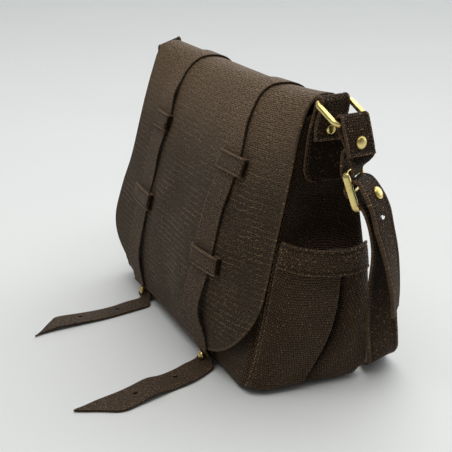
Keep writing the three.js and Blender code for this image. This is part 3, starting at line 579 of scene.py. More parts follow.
def feed(tree, node, inputs):
    """Sets a node's inputs by name or number, with values or with sockets to link."""
    for key, value in inputs.items():
        if isinstance(value, bpy.types.NodeSocket):
            tree.links.new(value, node.inputs[key])
        else:
            node.inputs[key].default_value = value


def add_node(tree, kind, inputs=None, **settings):
    node = tree.nodes.new(kind)
    for label, value in settings.items():
        setattr(node, label, value)
    feed(tree, node, inputs or {})
    return node


def new_tree(kind, name, inputs, outputs):
    """An empty node group, the sockets that it is given, and its output node."""
    tree = bpy.data.node_groups.new(name, kind)
    for label, socket_kind, default in inputs:
        socket = tree.interface.new_socket(
            label, in_out="INPUT", socket_type="NodeSocket" + socket_kind)
        if default is not None:
            socket.default_value = default
    for label, socket_kind in outputs:
        tree.interface.new_socket(label, in_out="OUTPUT", socket_type="NodeSocket" + socket_kind)
    return tree, tree.nodes.new("NodeGroupInput").outputs, tree.nodes.new("NodeGroupOutput")


def math_node(tree, operation, a, b=None, clamp=False):
    inputs = {0: a} if b is None else {0: a, 1: b}
    node = add_node(tree, "ShaderNodeMath", inputs, operation=operation, use_clamp=clamp)
    return node.outputs[0]


def times(tree, a, b):
    return math_node(tree, "MULTIPLY", a, b)


def range_node(tree, value, low, high, to_low=0.0, to_high=1.0):
    node = add_node(tree, "ShaderNodeMapRange", {
        "Value": value, "From Min": low, "From Max": high, "To Min": to_low, "To Max": to_high,
    }, interpolation_type="SMOOTHSTEP")
    return node.outputs[0]


def mix_colour(tree, factor, a, b):
    node = add_node(tree, "ShaderNodeMix", data_type="RGBA")
    number = {socket.identifier: k for k, socket in enumerate(node.inputs)}
    feed(tree, node, {number["Factor_Float"]: factor, number["A_Color"]: a, number["B_Color"]: b})
    return next(socket for socket in node.outputs if socket.identifier == "Result_Color")


def noise_node(tree, vector, scale, detail, rough=0.5, output="Fac"):
    node = add_node(tree, "ShaderNodeTexNoise", {
        "Vector": vector, "Scale": scale, "Detail": detail, "Roughness": rough})
    return node.outputs[output]


def vector_node(tree, operation, a, b):
    return add_node(tree, "ShaderNodeVectorMath", {0: a, 1: b}, operation=operation).outputs[0]


# Shader groups


def embossed_grain_group():
    """Rows of small embossed beads, laid like bricks, with bronze flecks and lines of dashes."""
    group, given, result = new_tree(
        "ShaderNodeTree", "embossed_grain",
        [
            ("Surface", "Vector", None), ("Across", "Float", 45.0), ("Along", "Float", 50.0),
            ("Irregularity", "Float", 0.5), ("Wander", "Float", 0.02), ("Crease", "Float", 0.0),
        ],
        [("Height", "Float"), ("Groove", "Float"), ("Fleck", "Float")])
    surface, irregularity = given["Surface"], given["Irregularity"]

    # The surface drifts a little and is then measured in beads.
    drift = noise_node(group, surface, 5.0, 2.0, output="Color")
    drift = vector_node(group, "SUBTRACT", drift, (0.5, 0.5, 0.5))
    wander = add_node(
        group, "ShaderNodeVectorMath", {0: drift, "Scale": given["Wander"]}, operation="SCALE")
    moved = vector_node(group, "ADD", surface, wander.outputs[0])
    pitch = add_node(group, "ShaderNodeCombineXYZ", {0: given["Across"], 1: given["Along"]})
    scaled = vector_node(group, "MULTIPLY", moved, pitch.outputs[0])
    across, along = add_node(group, "ShaderNodeSeparateXYZ", {0: scaled}).outputs[:2]

    # Every second row of beads is shifted by half a bead.
    middle = math_node(group, "SUBTRACT", 0.5, times(group, irregularity, 0.5))
    row = math_node(group, "FLOOR", math_node(group, "ADD", along, middle))
    shift = times(group, math_node(group, "FLOORED_MODULO", row, 2.0), 0.5)
    bricks = add_node(
        group, "ShaderNodeCombineXYZ", {0: math_node(group, "ADD", across, shift), 1: along})
    cells = add_node(group, "ShaderNodeTexVoronoi", {
        "Vector": bricks.outputs[0], "Scale": 1.0, "Randomness": irregularity,
    }, voronoi_dimensions="2D").outputs
    chance = add_node(group, "ShaderNodeSeparateColor", {0: cells["Color"]}).outputs
    bead = range_node(group, cells["Distance"], 0.1, 0.56, 1.0, 0.0)
    uneven = range_node(group, chance[0], 0.0, 1.0, 0.55, 1.0)
    pores = noise_node(group, scaled, 1.7, 3.0, 0.6)

    # Every third row is a line of dashes, which fades in places.
    lined = math_node(group, "LESS_THAN", math_node(group, "FLOORED_MODULO", row, 3.0), 0.5)
    strong = range_node(group, noise_node(group, surface, 3.0, 2.0), 0.38, 0.6, 0.15, 1.0)
    creased = times(group, times(group, lined, strong), given["Crease"])
    tall = math_node(group, "ADD", uneven, times(group, creased, 0.25))

    dashes = times(group, range_node(group, chance[2], 0.15, 0.6), creased)
    flecks = times(
        group, range_node(group, chance[1], 0.78, 0.9), range_node(group, pores, 0.42, 0.58))
    top = range_node(group, cells["Distance"], 0.2, 0.42, 1.0, 0.0)
    feed(group, result, {
        "Height": math_node(group, "ADD", times(group, bead, tall), times(group, pores, 0.35)),
        "Groove": range_node(group, bead, 0.04, 0.46, 1.0, 0.0),
        "Fleck": times(group, math_node(group, "MAXIMUM", flecks, dashes), top),
    })
    return group


def wear_and_sheen_group():
    """Soft tone patches, and a paler line for rubbed cut edges and for the painted highlight."""
    group, given, result = new_tree(
        "ShaderNodeTree", "tone_wear_and_sheen",
        [("Surface", "Vector", None), ("Edge", "Float", 0.0)],
        [("Tone", "Float"), ("Rubbed_And_Sheen", "Float")])
    patches = noise_node(group, given["Surface"], 3.2, 4.0, 0.55)
    scuffs = noise_node(group, given["Surface"], 40.0, 3.0, 0.6)
    uneven = range_node(group, scuffs, 0.3, 0.65, 0.35, 1.0)
    feed(group, result, {
        "Tone": range_node(group, patches, 0.3, 0.7),
        "Rubbed_And_Sheen": math_node(group, "MULTIPLY", given["Edge"], uneven, clamp=True),
    })
    return group


# Materials

GRAIN = embossed_grain_group()
WEAR_AND_SHEEN = wear_and_sheen_group()
DARK_BROWN = (0.054, 0.0302, 0.0158)
PALE_BROWN = (0.084, 0.0482, 0.0265)
# Pale rubbed leather at cut edges; the same colour lays the painted highlight over the ridge.
RUBBED_AND_SHEEN_BROWN = (0.36, 0.233, 0.137, 1.0)
GROOVE_BROWN = (0.008, 0.0047, 0.0026, 1.0)
# Painted shade in folds, dips, stitch grooves and under overhangs.
PAINTED_SHADE_BROWN = (0.004, 0.003, 0.0022, 1.0)
BRONZE_FLECK = (0.42, 0.268, 0.122, 1.0)
BRIGHT_BRASS = (0.8, 0.66, 0.27, 1.0)
TARNISHED_BRASS = (0.6, 0.46, 0.16, 1.0)
DARK_THREAD = (0.01, 0.007, 0.0045, 1.0)
PALE_THREAD = (0.028, 0.019, 0.012, 1.0)
# The attribute edge is above this only at a cut. The painted ridge highlight stops below it.
CUT_FROM = 0.82


def new_material(name):
    material = bpy.data.materials.new(name)
    material.use_nodes = True
    return material, material.node_tree, material.node_tree.nodes["Principled BSDF"]


def leather_material(
        name, across, along, irregularity, wander, fleck, tone, crease=0.0, shine=1.0, dyed=0.0):
    """Dark brown embossed leather; across and along give the emboss in beads per decimetre.

    Tone scales the ground colour, and dyed is how dark the cut edges are.
    """
    material, tree, shader = new_material(name)
    surface = add_node(tree, "ShaderNodeUVMap", uv_map="leather").outputs[0]
    edge, painted_shade = (
        add_node(tree, "ShaderNodeAttribute", attribute_name=label).outputs["Fac"]
        for label in ("edge", "painted_shade"))
    grain = add_node(tree, "ShaderNodeGroup", {
        "Surface": surface, "Across": across, "Along": along, "Irregularity": irregularity,
        "Wander": wander, "Crease": crease,
    }, node_tree=GRAIN).outputs
    wear_and_sheen = add_node(
        tree, "ShaderNodeGroup", {"Surface": surface, "Edge": edge}, node_tree=WEAR_AND_SHEEN).outputs
    ground = [tuple(tone * c for c in brown) + (1.0,) for brown in (DARK_BROWN, PALE_BROWN)]
    colour = mix_colour(tree, wear_and_sheen["Tone"], *ground)
    rubbed_and_sheen = times(tree, wear_and_sheen["Rubbed_And_Sheen"], range_node(tree, edge, CUT_FROM, 1.0, 1.0, 0.18))
    grooved = times(tree, grain["Groove"], range_node(tree, edge, CUT_FROM, 1.0, 0.88, 0.15))
    for mask, layer in (
        # Rubbed cut edges, and the painted highlight over the ridge.
        (rubbed_and_sheen, RUBBED_AND_SHEEN_BROWN),
        (grooved, GROOVE_BROWN),
        (times(tree, grain["Fleck"], fleck), BRONZE_FLECK),
        (range_node(tree, edge, CUT_FROM + 0.02, 1.0, 0.0, dyed), GROOVE_BROWN),
        # Painted shade where the sheet's shade attribute is set.
        (times(tree, painted_shade, 0.9), PAINTED_SHADE_BROWN),
    ):
        colour = mix_colour(tree, mask, colour, layer)
    rough = range_node(tree, grain["Height"], 0.1, 1.2, 0.8, 0.52)
    in_light = math_node(tree, "SUBTRACT", 1.0, painted_shade)
    bump = add_node(
        tree, "ShaderNodeBump", {"Strength": 0.9, "Distance": 0.0013, "Height": grain["Height"]})
    feed(tree, shader, {
        "Base Color": colour,
        "Roughness": math_node(tree, "SUBTRACT", rough, times(tree, grain["Fleck"], 0.2)),
        "Specular IOR Level": times(tree, in_light, 0.33 * shine),
        "Specular Tint": (1.0, 0.78, 0.56, 1.0),
        "Sheen Weight": times(tree, in_light, 0.13 * shine),
        "Sheen Roughness": 0.35,
        "Sheen Tint": (1.0, 0.8, 0.6, 1.0),
        "Normal": bump.outputs[0],
    })
    return material


def brass_material():
    """Pale satin brass with fine brushing and a little tarnish."""
    material, tree, shader = new_material("satin_brass")
    place = add_node(tree, "ShaderNodeTexCoord").outputs["Object"]
    drawn = add_node(tree, "ShaderNodeMapping", {"Vector": place, "Scale": (900.0, 900.0, 160.0)})
    brushing = noise_node(tree, drawn.outputs[0], 1.0, 3.0, 0.6)
    tarnish = range_node(tree, noise_node(tree, place, 120.0, 3.0, 0.6), 0.35, 0.7)
    bump = add_node(
        tree, "ShaderNodeBump", {"Strength": 0.15, "Distance": 0.0002, "Height": brushing})
    feed(tree, shader, {
        "Base Color": mix_colour(tree, tarnish, BRIGHT_BRASS, TARNISHED_BRASS),
        "Roughness": range_node(tree, brushing, 0.3, 0.7, 0.2, 0.36),
        "Metallic": 1.0,
        "Normal": bump.outputs[0],
    })
    return material


def thread_material():
    """Dark brown waxed thread with a twist."""
    material, tree, shader = new_material("waxed_thread")
    place = add_node(tree, "ShaderNodeTexCoord").outputs["Object"]
    twist = noise_node(tree, place, 1800.0, 2.0)
    feed(tree, shader, {
        "Base Color": mix_colour(tree, twist, DARK_THREAD, PALE_THREAD),
        "Roughness": range_node(tree, twist, 0.3, 0.7, 0.45, 0.7),
    })
    return material


flap_leather = leather_material(
    "flap_leather", across=48.0, along=60.0, irregularity=0.4, wander=0.03, fleck=0.6, tone=0.59,
    crease=1.0, shine=0.9)
side_leather = leather_material(
    "side_leather", across=46.0, along=48.0, irregularity=0.2, wander=0.04, fleck=0.3, tone=0.88,
    dyed=0.8)
strap_leather = leather_material(
    "strap_leather", across=50.0, along=56.0, irregularity=0.5, wander=0.03, fleck=0.8, tone=1.05,
    dyed=0.8)
shoulder_leather = leather_material(
    "shoulder_leather", across=46.0, along=54.0, irregularity=0.35, wander=0.03, fleck=0.65,
    tone=0.72, shine=0.4)
# Keepers get a lighter ground as a painted highlight, for faces that tilt up to the light.
lit_keeper_leather = leather_material(
    "lit_keeper_leather", across=46.0, along=54.0, irregularity=0.35, wander=0.03, fleck=0.6, tone=1.3)
brass = brass_material()
thread = thread_material()
DYED_LEATHERS = (side_leather, strap_leather)
LEATHER_SLOT = "textured_leather"
BRASS_SLOT = "satin_brass"


# Geometry node trees


def placed_copies(tree, points, shape, axis, size, finish):
    """Copies of a shape on points, with its Z along an axis, made a smooth mesh in a finish."""
    turn = add_node(tree, "FunctionNodeAlignRotationToVector", {"Vector": axis}, axis="Z")
    copies = add_node(tree, "GeometryNodeInstanceOnPoints", {
        "Points": points, "Instance": shape, "Rotation": turn.outputs[0], "Scale": size})
    real = add_node(tree, "GeometryNodeRealizeInstances", {0: copies.outputs[0]})
    smooth = add_node(tree, "GeometryNodeSetShadeSmooth", {0: real.outputs[0]})
    painted = add_node(
        tree, "GeometryNodeSetMaterial", {"Geometry": smooth.outputs[0], "Material": finish})
    return painted.outputs[0]


def stitch_tree():
    """Stitches at an even spacing along lines: a short rounded thread for each."""
    tree, given, result = new_tree(
        "GeometryNodeTree", "stitch_rows",
        [
            ("Lines", "Geometry", None), ("Spacing", "Float", 0.0035),
            ("Stitch Length", "Float", 0.0026), ("Thread Thickness", "Float", 0.0007),
            ("Thread", "Material", None),
        ],
        [("Stitches", "Geometry")])
    curve = add_node(tree, "GeometryNodeMeshToCurve", {0: given["Lines"]}).outputs[0]
    even = add_node(
        tree, "GeometryNodeResampleCurve", {"Curve": curve, "Length": given["Spacing"]},
        mode="LENGTH")
    bead = add_node(tree, "GeometryNodeMeshUVSphere", {"Segments": 6, "Rings": 5, "Radius": 0.5})
    thickness = given["Thread Thickness"]
    size = add_node(
        tree, "ShaderNodeCombineXYZ", {0: thickness, 1: thickness, 2: given["Stitch Length"]})
    tangent = add_node(tree, "GeometryNodeInputTangent").outputs[0]
    stitches = placed_copies(
        tree, even.outputs[0], bead.outputs["Mesh"], tangent, size.outputs[0], given["Thread"])
    feed(tree, result, {0: stitches})
    return tree


def rivet_tree():
    """A cap on each point, turned to the point's own axis: a flat rim and a domed middle."""
    tree, given, result = new_tree(
        "GeometryNodeTree", "rivet_caps",
        [
            ("Places", "Geometry", None), ("Rim Height", "Float", 0.28),
            ("Dome Height", "Float", 0.32), ("Metal", "Material", None),
        ],
        [("Rivets", "Geometry")])
    rim = add_node(tree, "GeometryNodeMeshCylinder", {
        "Vertices": 32, "Radius": 1.0, "Depth": given["Rim Height"]})
    dome = add_node(tree, "GeometryNodeMeshUVSphere", {
        "Segments": 32, "Rings": 14, "Radius": 0.92})
    flat = add_node(tree, "ShaderNodeCombineXYZ", {0: 1.0, 1: 1.0, 2: given["Dome Height"]})
    up = add_node(tree, "ShaderNodeCombineXYZ", {2: times(tree, given["Rim Height"], 0.5)})
    domed = add_node(tree, "GeometryNodeTransform", {
        "Geometry": dome.outputs["Mesh"], "Scale": flat.outputs[0], "Translation": up.outputs[0]})
    cap = add_node(tree, "GeometryNodeJoinGeometry", {0: domed.outputs[0]})
    feed(tree, cap, {0: rim.outputs["Mesh"]})
    axis, radius = (
        add_node(tree, "GeometryNodeInputNamedAttribute", {"Name": label}, data_type=kind)
        for label, kind in (("axis", "FLOAT_VECTOR"), ("cap_radius", "FLOAT")))
    caps = placed_copies(
        tree, given["Places"], cap.outputs[0], axis.outputs[0], radius.outputs[0], given["Metal"])
    feed(tree, result, {0: caps})
    return tree


STITCHES = stitch_tree()
RIVETS = rivet_tree()


def evaluated_mesh(piece):
    """The mesh that a piece's modifiers make of it."""
    bpy.context.view_layer.update()
    depsgraph = bpy.context.evaluated_depsgraph_get()
    return bpy.data.meshes.new_from_object(piece.evaluated_get(depsgraph), depsgraph=depsgraph)


def grown(name, mesh, tree, values):
    """The mesh that a node tree grows from a mesh of lines or points, as a plain piece."""
    seed = link_mesh(name + "_lines", mesh)
    modifier = seed.modifiers.new("grow", "NODES")
    modifier.node_group = tree
    sockets = {item.name: item.identifier for item in tree.interface.items_tree}
    for label, value in values.items():
        modifier[sockets[label]] = value
    result = evaluated_mesh(seed)
    bpy.data.objects.remove(seed)
    result.name = name
    return link_mesh(name, result)


def stitched(name, lines, stitch):
    """Rows of stitches along lines of points."""
    mesh = bpy.data.meshes.new(name + "_lines")
    points, edges = [], []
    for line in lines:
        edges += [(len(points) + k, len(points) + k + 1) for k in range(len(line) - 1)]
        points += (np.asarray(line) * MM).tolist()
    mesh.from_pydata(points, edges, [])
    spacing, length, thickness = (size * MM for size in stitch)
    piece = grown(name, mesh, STITCHES, {
        "Spacing": spacing, "Stitch Length": length, "Thread Thickness": thickness,
        "Thread": thread})
    settle(piece, LEATHER_SLOT)


def riveted(name, place, axis, radius):
    """One rivet cap on a face, for the solid of the same name."""
    mesh = bpy.data.meshes.new(name + "_places")
    mesh.from_pydata([(np.asarray(place) * MM).tolist()], [], [])
    mesh.attributes.new("axis", "FLOAT_VECTOR", "POINT").data[0].vector = np.asarray(axis).tolist()
    mesh.attributes.new("cap_radius", "FLOAT", "POINT").data[0].value = radius * MM
    piece = grown(name, mesh, RIVETS, {"Metal": brass})
    piece.data.set_sharp_from_angle(angle=math.radians(RIVET_SHARP_ANGLE))
    settle(piece, BRASS_SLOT, name)


def brass_piece(name, points, faces):
    settle(link_mesh(name, plain_mesh(name, points, faces, brass)), BRASS_SLOT, name)


# Body


def seam_roll(to_seam):
    """How far a body piece turns in towards the seam, by its distance from it."""
    share = np.clip(1 - to_seam / SEAM_REACH, 0, 1)
    return SEAM_ROLL * (1 - np.sqrt(np.maximum(0, 1 - share**2)))


def foot_in(height):
    """How far the body's lower edges turn in towards the base."""
    return FOOT_TURN * ease((FOOT_HEIGHT - np.asarray(height, float)) / FOOT_HEIGHT) ** 2


def panel_half(height):
    """Half a panel's width at a height; its lower corners follow the lifted edge of the base."""
    turn = np.linspace(math.pi / 2, 0, 60)
    radius = CORNER_RADIUS - BASE_EDGE_LIFT * np.sin(turn)
    return HALF_WIDTH - CORNER_RADIUS + np.interp(
        height, CORNER_RADIUS - radius * np.sin(turn), radius * np.cos(turn))


def body_panel(name, from_row, to_row, rows, columns):
    row = np.linspace(from_row, to_row, rows)
    foot = from_row if from_row < RIDGE_ROW and to_row < RIDGE_ROW else to_row
    share = np.abs((row - foot) / (to_row - from_row))
    row = np.sort(foot + (row - foot) * share**0.35)[:, None]
    height = skin(HALF_WIDTH, row)[..., 2]
    reach = np.maximum(panel_half(height) - PANEL_INSET, 4)
    x = reach * (2 * spread(columns, 0.6)[None] - 1)
    roll = seam_roll(reach - np.abs(x))
    mid = off_skin(x, np.broadcast_to(row, x.shape), -PANEL_THICKNESS / 2 - roll - foot_in(height))
    # Painted shadow of the flap on the front panel, from just above its foot upward.
    painted_shade_share = 0.55 * ease((height - 20) / 25) if name == "front_panel" else 0.0
    piece, _, _ = leather_sheet(name, mid, PANEL_THICKNESS, side_leather, painted_shade=painted_shade_share)
    settle(piece, LEATHER_SLOT, name)


def gusset_line():
    """The gusset's outer line down one end, along the base and up the other: x, z, tilt."""
    side = [(HALF_WIDTH, z, 0.0) for z in np.linspace(GUSSET_TOP, CORNER_RADIUS + 2, 72)]
    arc = [
        (HALF_WIDTH - CORNER_RADIUS * (1 - math.cos(t)), CORNER_RADIUS * (1 - math.sin(t)), t)
        for t in np.linspace(0, math.pi / 2, 10)
    ]
    base = [(x, 0.0, math.pi / 2) for x in np.linspace(126, 4, 22)]
    right = side + arc + base
    left = [(-x, z, math.pi - t) for x, z, t in reversed(right)]
    return np.array(right + left)


def gusset():
    x, z, tilt = (column[:, None] for column in gusset_line().T)
    share = spread(41, 0.5)[None]
    right_share = np.clip(x / (2 * HALF_WIDTH) + 0.5, 0, 1)
    front, back = (
        edge_y(z, facing, -1) * (1 - right_share) + edge_y(z, facing, 1) * right_share
        for facing in (True, False))
    front, back = front + SEAM_GAP + foot_in(z), back - SEAM_GAP - foot_in(z)
    y = front + (back - front) * share
    upper = ease((z - GUSSET_DENT_FROM) / 30) * ease((GUSSET_DENT_TO - z) / 22)
    edge = ease(1 - share / 0.1) + ease(1 - (1 - share) / 0.1)
    inset = GUSSET_THICKNESS / 2 + GUSSET_DENT * np.cos(tilt) ** 2 * upper * np.sin(np.pi * share)
    inset = inset + BASE_EDGE_LIFT * np.sin(tilt) * edge
    inset = inset + seam_roll(np.minimum(y - front, back - y)) * np.cos(tilt) ** 2
    rise = ease((z - GUSSET_ARCH_FROM) / (GUSSET_TOP - GUSSET_ARCH_FROM))
    arch = GUSSET_ARCH * np.sin(np.pi * share) * rise
    mid = np.stack(np.broadcast_arrays(
        x - np.cos(tilt) * inset, y, z + np.sin(tilt) * inset + arch), -1)
    # Painted shade on the gusset's upper ends, under the flap's edge and the ring tabs.
    painted_shade_share = 0.72 * np.cos(tilt) ** 2 * ease((z - 105) / 30) * np.ones_like(share)
    piece, _, _ = leather_sheet("gusset", mid, GUSSET_THICKNESS, side_leather, painted_shade=painted_shade_share)
    settle(piece, LEATHER_SLOT, "gusset")


# Flap, flap straps, keepers and studs


def flap_lift(x, height):
    """How far the flap stands off the body, more and more from a height downward."""
    loose = FLAP_LOOSE + FLAP_LOOSE_ENDS * np.abs(x / HALF_WIDTH) ** 4
    return GAP + loose * ease((FLAP_LOOSE_FROM - height) / 60)


def hem_at(x):
    """The hem's height: straight in the middle, elliptical at the corners."""
    share = np.clip((np.abs(x) - HEM_CORNER_START) / (FLAP_HALF - HEM_CORNER_START), 0, 1)
    return HEM_HEIGHT + HEM_CORNER_RISE * (1 - np.sqrt(1 - share**2))


def flap_wave(x, row):
    """The soft waves of the hanging flap, always outward."""
    hang = ease((row - 8.0) / 2.0)
    wide = 0.5 + 0.5 * np.sin(x / 23.0 + 0.9 * row)
    slow = 0.5 + 0.5 * np.sin(x / 41.0 - 0.7 * row + 2.0)
    swell = sum(
        rise * np.exp(-(((x - at) / reach) ** 2) - ((row - level) / rows) ** 2)
        for at, level, reach, rows, rise in FLAP_SWELLS)
    return hang * (0.5 * wide + 0.7 * slow + swell)


def off_flap(x, row, distance):
    x, row, distance = np.broadcast_arrays(*(np.asarray(v, float) for v in (x, row, distance)))
    height = skin(x, row)[..., 2]
    return off_skin(x, row, flap_lift(x, height) + flap_wave(x, row) + distance)


def flap_row(x, share):
    hem_row = row_at_height(x, hem_at(x), True)
    return FLAP_START + (hem_row - FLAP_START) * share


def ridge_sheen(points):
    """How much painted highlight a sheet gets over the ridge, by height, as paler rubbed leather.
    """
    return CUT_FROM * ease((points[..., 2] - SHEEN_FROM) / (SHEEN_TO - SHEEN_FROM)) ** 1.2


def flap():
    turn = np.linspace(0, math.pi / 2, 34)[1:]
    corner = HEM_CORNER_START + (FLAP_HALF - HEM_CORNER_START) * np.sin(turn)
    middle = np.linspace(-HEM_CORNER_START, HEM_CORNER_START, 49)
    x = np.concatenate([-corner[::-1], middle, corner])[None]
    share = np.concatenate([np.linspace(0, 0.97, 150), np.linspace(0.97, 1, 8)[1:]])[:, None]
    x = np.broadcast_to(x, (len(share), x.shape[1]))
    mid = off_flap(x, flap_row(x, share), FLAP_THICKNESS / 2)
    # Painted highlight over the upper flap, rising toward the ridge.
    piece, _, _ = leather_sheet("flap", mid, FLAP_THICKNESS, flap_leather, painted_sheen=ridge_sheen(mid))
    return settle(piece, LEATHER_SLOT, "flap")


def strap_x(side, row):
    """A flap strap's middle line and width at row numbers."""
    line = smooth_line(np.array(STRAP_LINES[side], float), np.asarray(row, float) - 4)
    return line[..., 0], line[..., 1]


def across_flap(x, row):
    reach = 11.0
    return unit(off_flap(x + reach, row, 0) - off_flap(x - reach, row, 0))


def strap_arch(side, row):
    """How far a flap strap stands off the flap at row numbers."""
    return sum(
        rise * np.exp(-(((row - at) / reach) ** 2)) for at, rise, reach in STRAP_ARCHES[side])


def stud_depth(sign):
    """The skin's depth behind a stud."""
    x = sign * STUD_X
    return float(skin(x, row_at_height(x, STUD_HEIGHT, True))[1])


def flap_strap_stations(side, sign):
    """A flap strap: over the flap, past the stud, around the bend and along the table."""
    on_flap = FLAP_THICKNESS + GAP + STRAP_THICKNESS / 2
    row = flap_row(np.full(60, sign * STUD_X), np.linspace(1 / 26, 1, 60))
    x, width = strap_x(side, row)
    centres = off_flap(x, row, on_flap + strap_arch(side, row))
    stations = list(zip(centres, across_flap(x, row), width))
    off_body = STUD_TAB_OFF + TAB_THICKNESS + 2 * GAP + STRAP_THICKNESS / 2
    stud_y = stud_depth(sign) - off_body
    for x, y, z, turn in (
        (0, stud_y - 1.6, STUD_HEIGHT + 2.3, 0), (0, stud_y, STUD_HEIGHT, 0),
        (2, stud_y - 0.8, 4.8, 0.06), (5, stud_y - 4, 2.4, 0.14),
    ):
        across = (math.cos(turn), math.sin(turn), 0)
        stations.append(((sign * STUD_X + x, y, z), across, width[-1]))
    for fx, fy, nx, ny, rise in TAIL_ROWS[side]:
        across = np.array([nx - fx, ny - fy, 0.0])
        centre = ((fx + nx) / 2, (fy + ny) / 2, GAP + STRAP_THICKNESS / 2 + rise)
        stations.append((centre, unit(across), np.linalg.norm(across)))
    return stations


def punched(piece, holes, radius, reach=6.0):
    """Round holes through a piece: places in millimetres and axes."""
    profile = [(radius, -reach), (radius, reach)]
    points, faces = joined(
        lathe(profile, place, axis, (0.3, 0.9, 0.2), HOLE_SIDES) for place, axis in holes)
    cutter = link_mesh("punch", plain_mesh("punch", points, faces, piece.data.materials[0]))
    modifier = piece.modifiers.new("holes", "BOOLEAN")
    modifier.operation = "DIFFERENCE"
    modifier.solver = "EXACT"
    modifier.object = cutter
    result = evaluated_mesh(piece)
    piece.modifiers.remove(modifier)
    piece.data = result
    bpy.data.objects.remove(cutter)


def flap_strap(side, sign):
    name = f"flap_strap_{side}"
    grid = band_grid(flap_strap_stations(side, sign), 13, 4)
    # Painted highlight on the strap's upper end near the ridge.
    piece, _, _ = leather_sheet(name, grid, STRAP_THICKNESS, strap_leather, painted_sheen=ridge_sheen(grid))
    stud_hole = (sign * STUD_X, stud_depth(sign) - 3, STUD_HEIGHT)
    punched(piece, [(stud_hole, (0, -1, 0))], STUD_HOLE_RADIUS)
    punched(piece, [((x, y, 0), (0, 0, 1)) for x, y in TAIL_HOLES[side]], HOLE_RADIUS)
    settle(piece, LEATHER_SLOT, name)


def keeper(side, row, level, left, right):
    """A loop over a flap strap, sewn flat at its left end and folded under at its right end."""
    row = np.float64(row)
    x, width = strap_x(side, row)
    centre = off_flap(x, row, FLAP_THICKNESS)
    out = skin_normal(x, row)
    along = unit(skin(x, row + 0.05) - skin(x, row - 0.05))
    across = across_flap(x, row)
    low = 1.4 * GAP + KEEPER_THICKNESS / 2
    arch = max(strap_arch(side, row + aside) for aside in (-0.17, 0.0, 0.17))
    high = 3.3 * GAP + STRAP_THICKNESS + KEEPER_THICKNESS / 2 + arch
    reach = width / 2
    under = min(6.5, right - reach - 1.8)
    rise_left, rise_right = (
        float((off_flap(x + a, row, FLAP_THICKNESS) - centre) @ out) for a in (-left, right))
    line = [
        (-left, low + 0.4), (-left + 1.6, low + 0.7), (-reach + 0.4, high - 0.3),
        (-reach + 4, high + 0.2), (0, high + 0.4), (reach - 3, high + 0.7),
        (right - 5, high + 1.1), (right - 1.4, high + 1.2), (right - 0.3, high + 0.7),
        (right - 0.1, (high + low) / 2 + 0.2), (right - 0.8, low + 0.2), (right - under / 2, low),
        (right - under, low),
    ]
    stations = []
    for a, r in line:
        bend = rise_left * (a / left) ** 2 if a < 0 else rise_right * (a / right) ** 2
        stations.append((centre + across * a + out * (r + bend), along, KEEPER_WIDTH))
    name = f"{level}_keeper_{side}"
    grid = band_grid(stations, 19, TAB_STEPS)
    seam = 1.9
    # Painted shade on the turned-under right end.
    fold_shade = 0.85 * ease(table_row(grid, TAB_STEPS) - 7.6)
    piece, face, _ = leather_sheet(
        name, grid, KEEPER_THICKNESS, lit_keeper_leather, flip=True,
        seams=(("left", seam), ("right", seam)), painted_shade=fold_shade)
    settle(piece, LEATHER_SLOT, name)
    top = face.part(4, 7 * TAB_STEPS)
    lines = [top.lane(seam, s, STITCH_LIFT) for s in (-1, 1)] + [top.rung(3.5, 1, 0.15)[3:-3]]
    stitched(f"{name}_stitching", lines, KEEPER_STITCH)


def stud_tab(side, sign):
    x = sign * STUD_X
    top, foot = (row_at_height(x, height, True) for height in (STUD_TAB_TOP, STUD_TAB_FOOT))
    stations = [
        (off_skin(x, row, STUD_TAB_OFF + TAB_THICKNESS / 2), (1, 0, 0), STUD_TAB_WIDTH)
        for row in np.linspace(top, foot, 8)]
    name = f"stud_tab_{side}"
    piece, _, _ = leather_sheet(name, band_grid(stations, 11, 3), TAB_THICKNESS, strap_leather)
    settle(piece, LEATHER_SLOT, name)


def stud(side, sign):
    """A ball stud: a straight neck and a flattened ball."""
    x = sign * STUD_X
    place = off_skin(x, row_at_height(x, STUD_HEIGHT, True), GAP)
    neck = STUD_TAB_OFF + 5 * GAP + TAB_THICKNESS + STRAP_THICKNESS
    ball = [
        (STUD_HEAD_RADIUS * math.cos(t), neck + 2.3 + STUD_HEAD_HALF * math.sin(t))
        for t in np.linspace(-0.42 * math.pi, 0.495 * math.pi, 16)
    ]
    straight = [(STUD_NECK_RADIUS, 0.0), (STUD_NECK_RADIUS, neck - 1.6), (2.1, neck - 0.7)]
    points, faces = lathe(straight + ball[2:], place, (0, -1, 0), (0.31, 0.2, 0.9), STUD_SIDES)
    brass_piece(f"stud_{side}", points, faces)


# Side pockets


def table_at(rows, key):
    return np.interp(key, rows[:, 0], rows[:, 1])


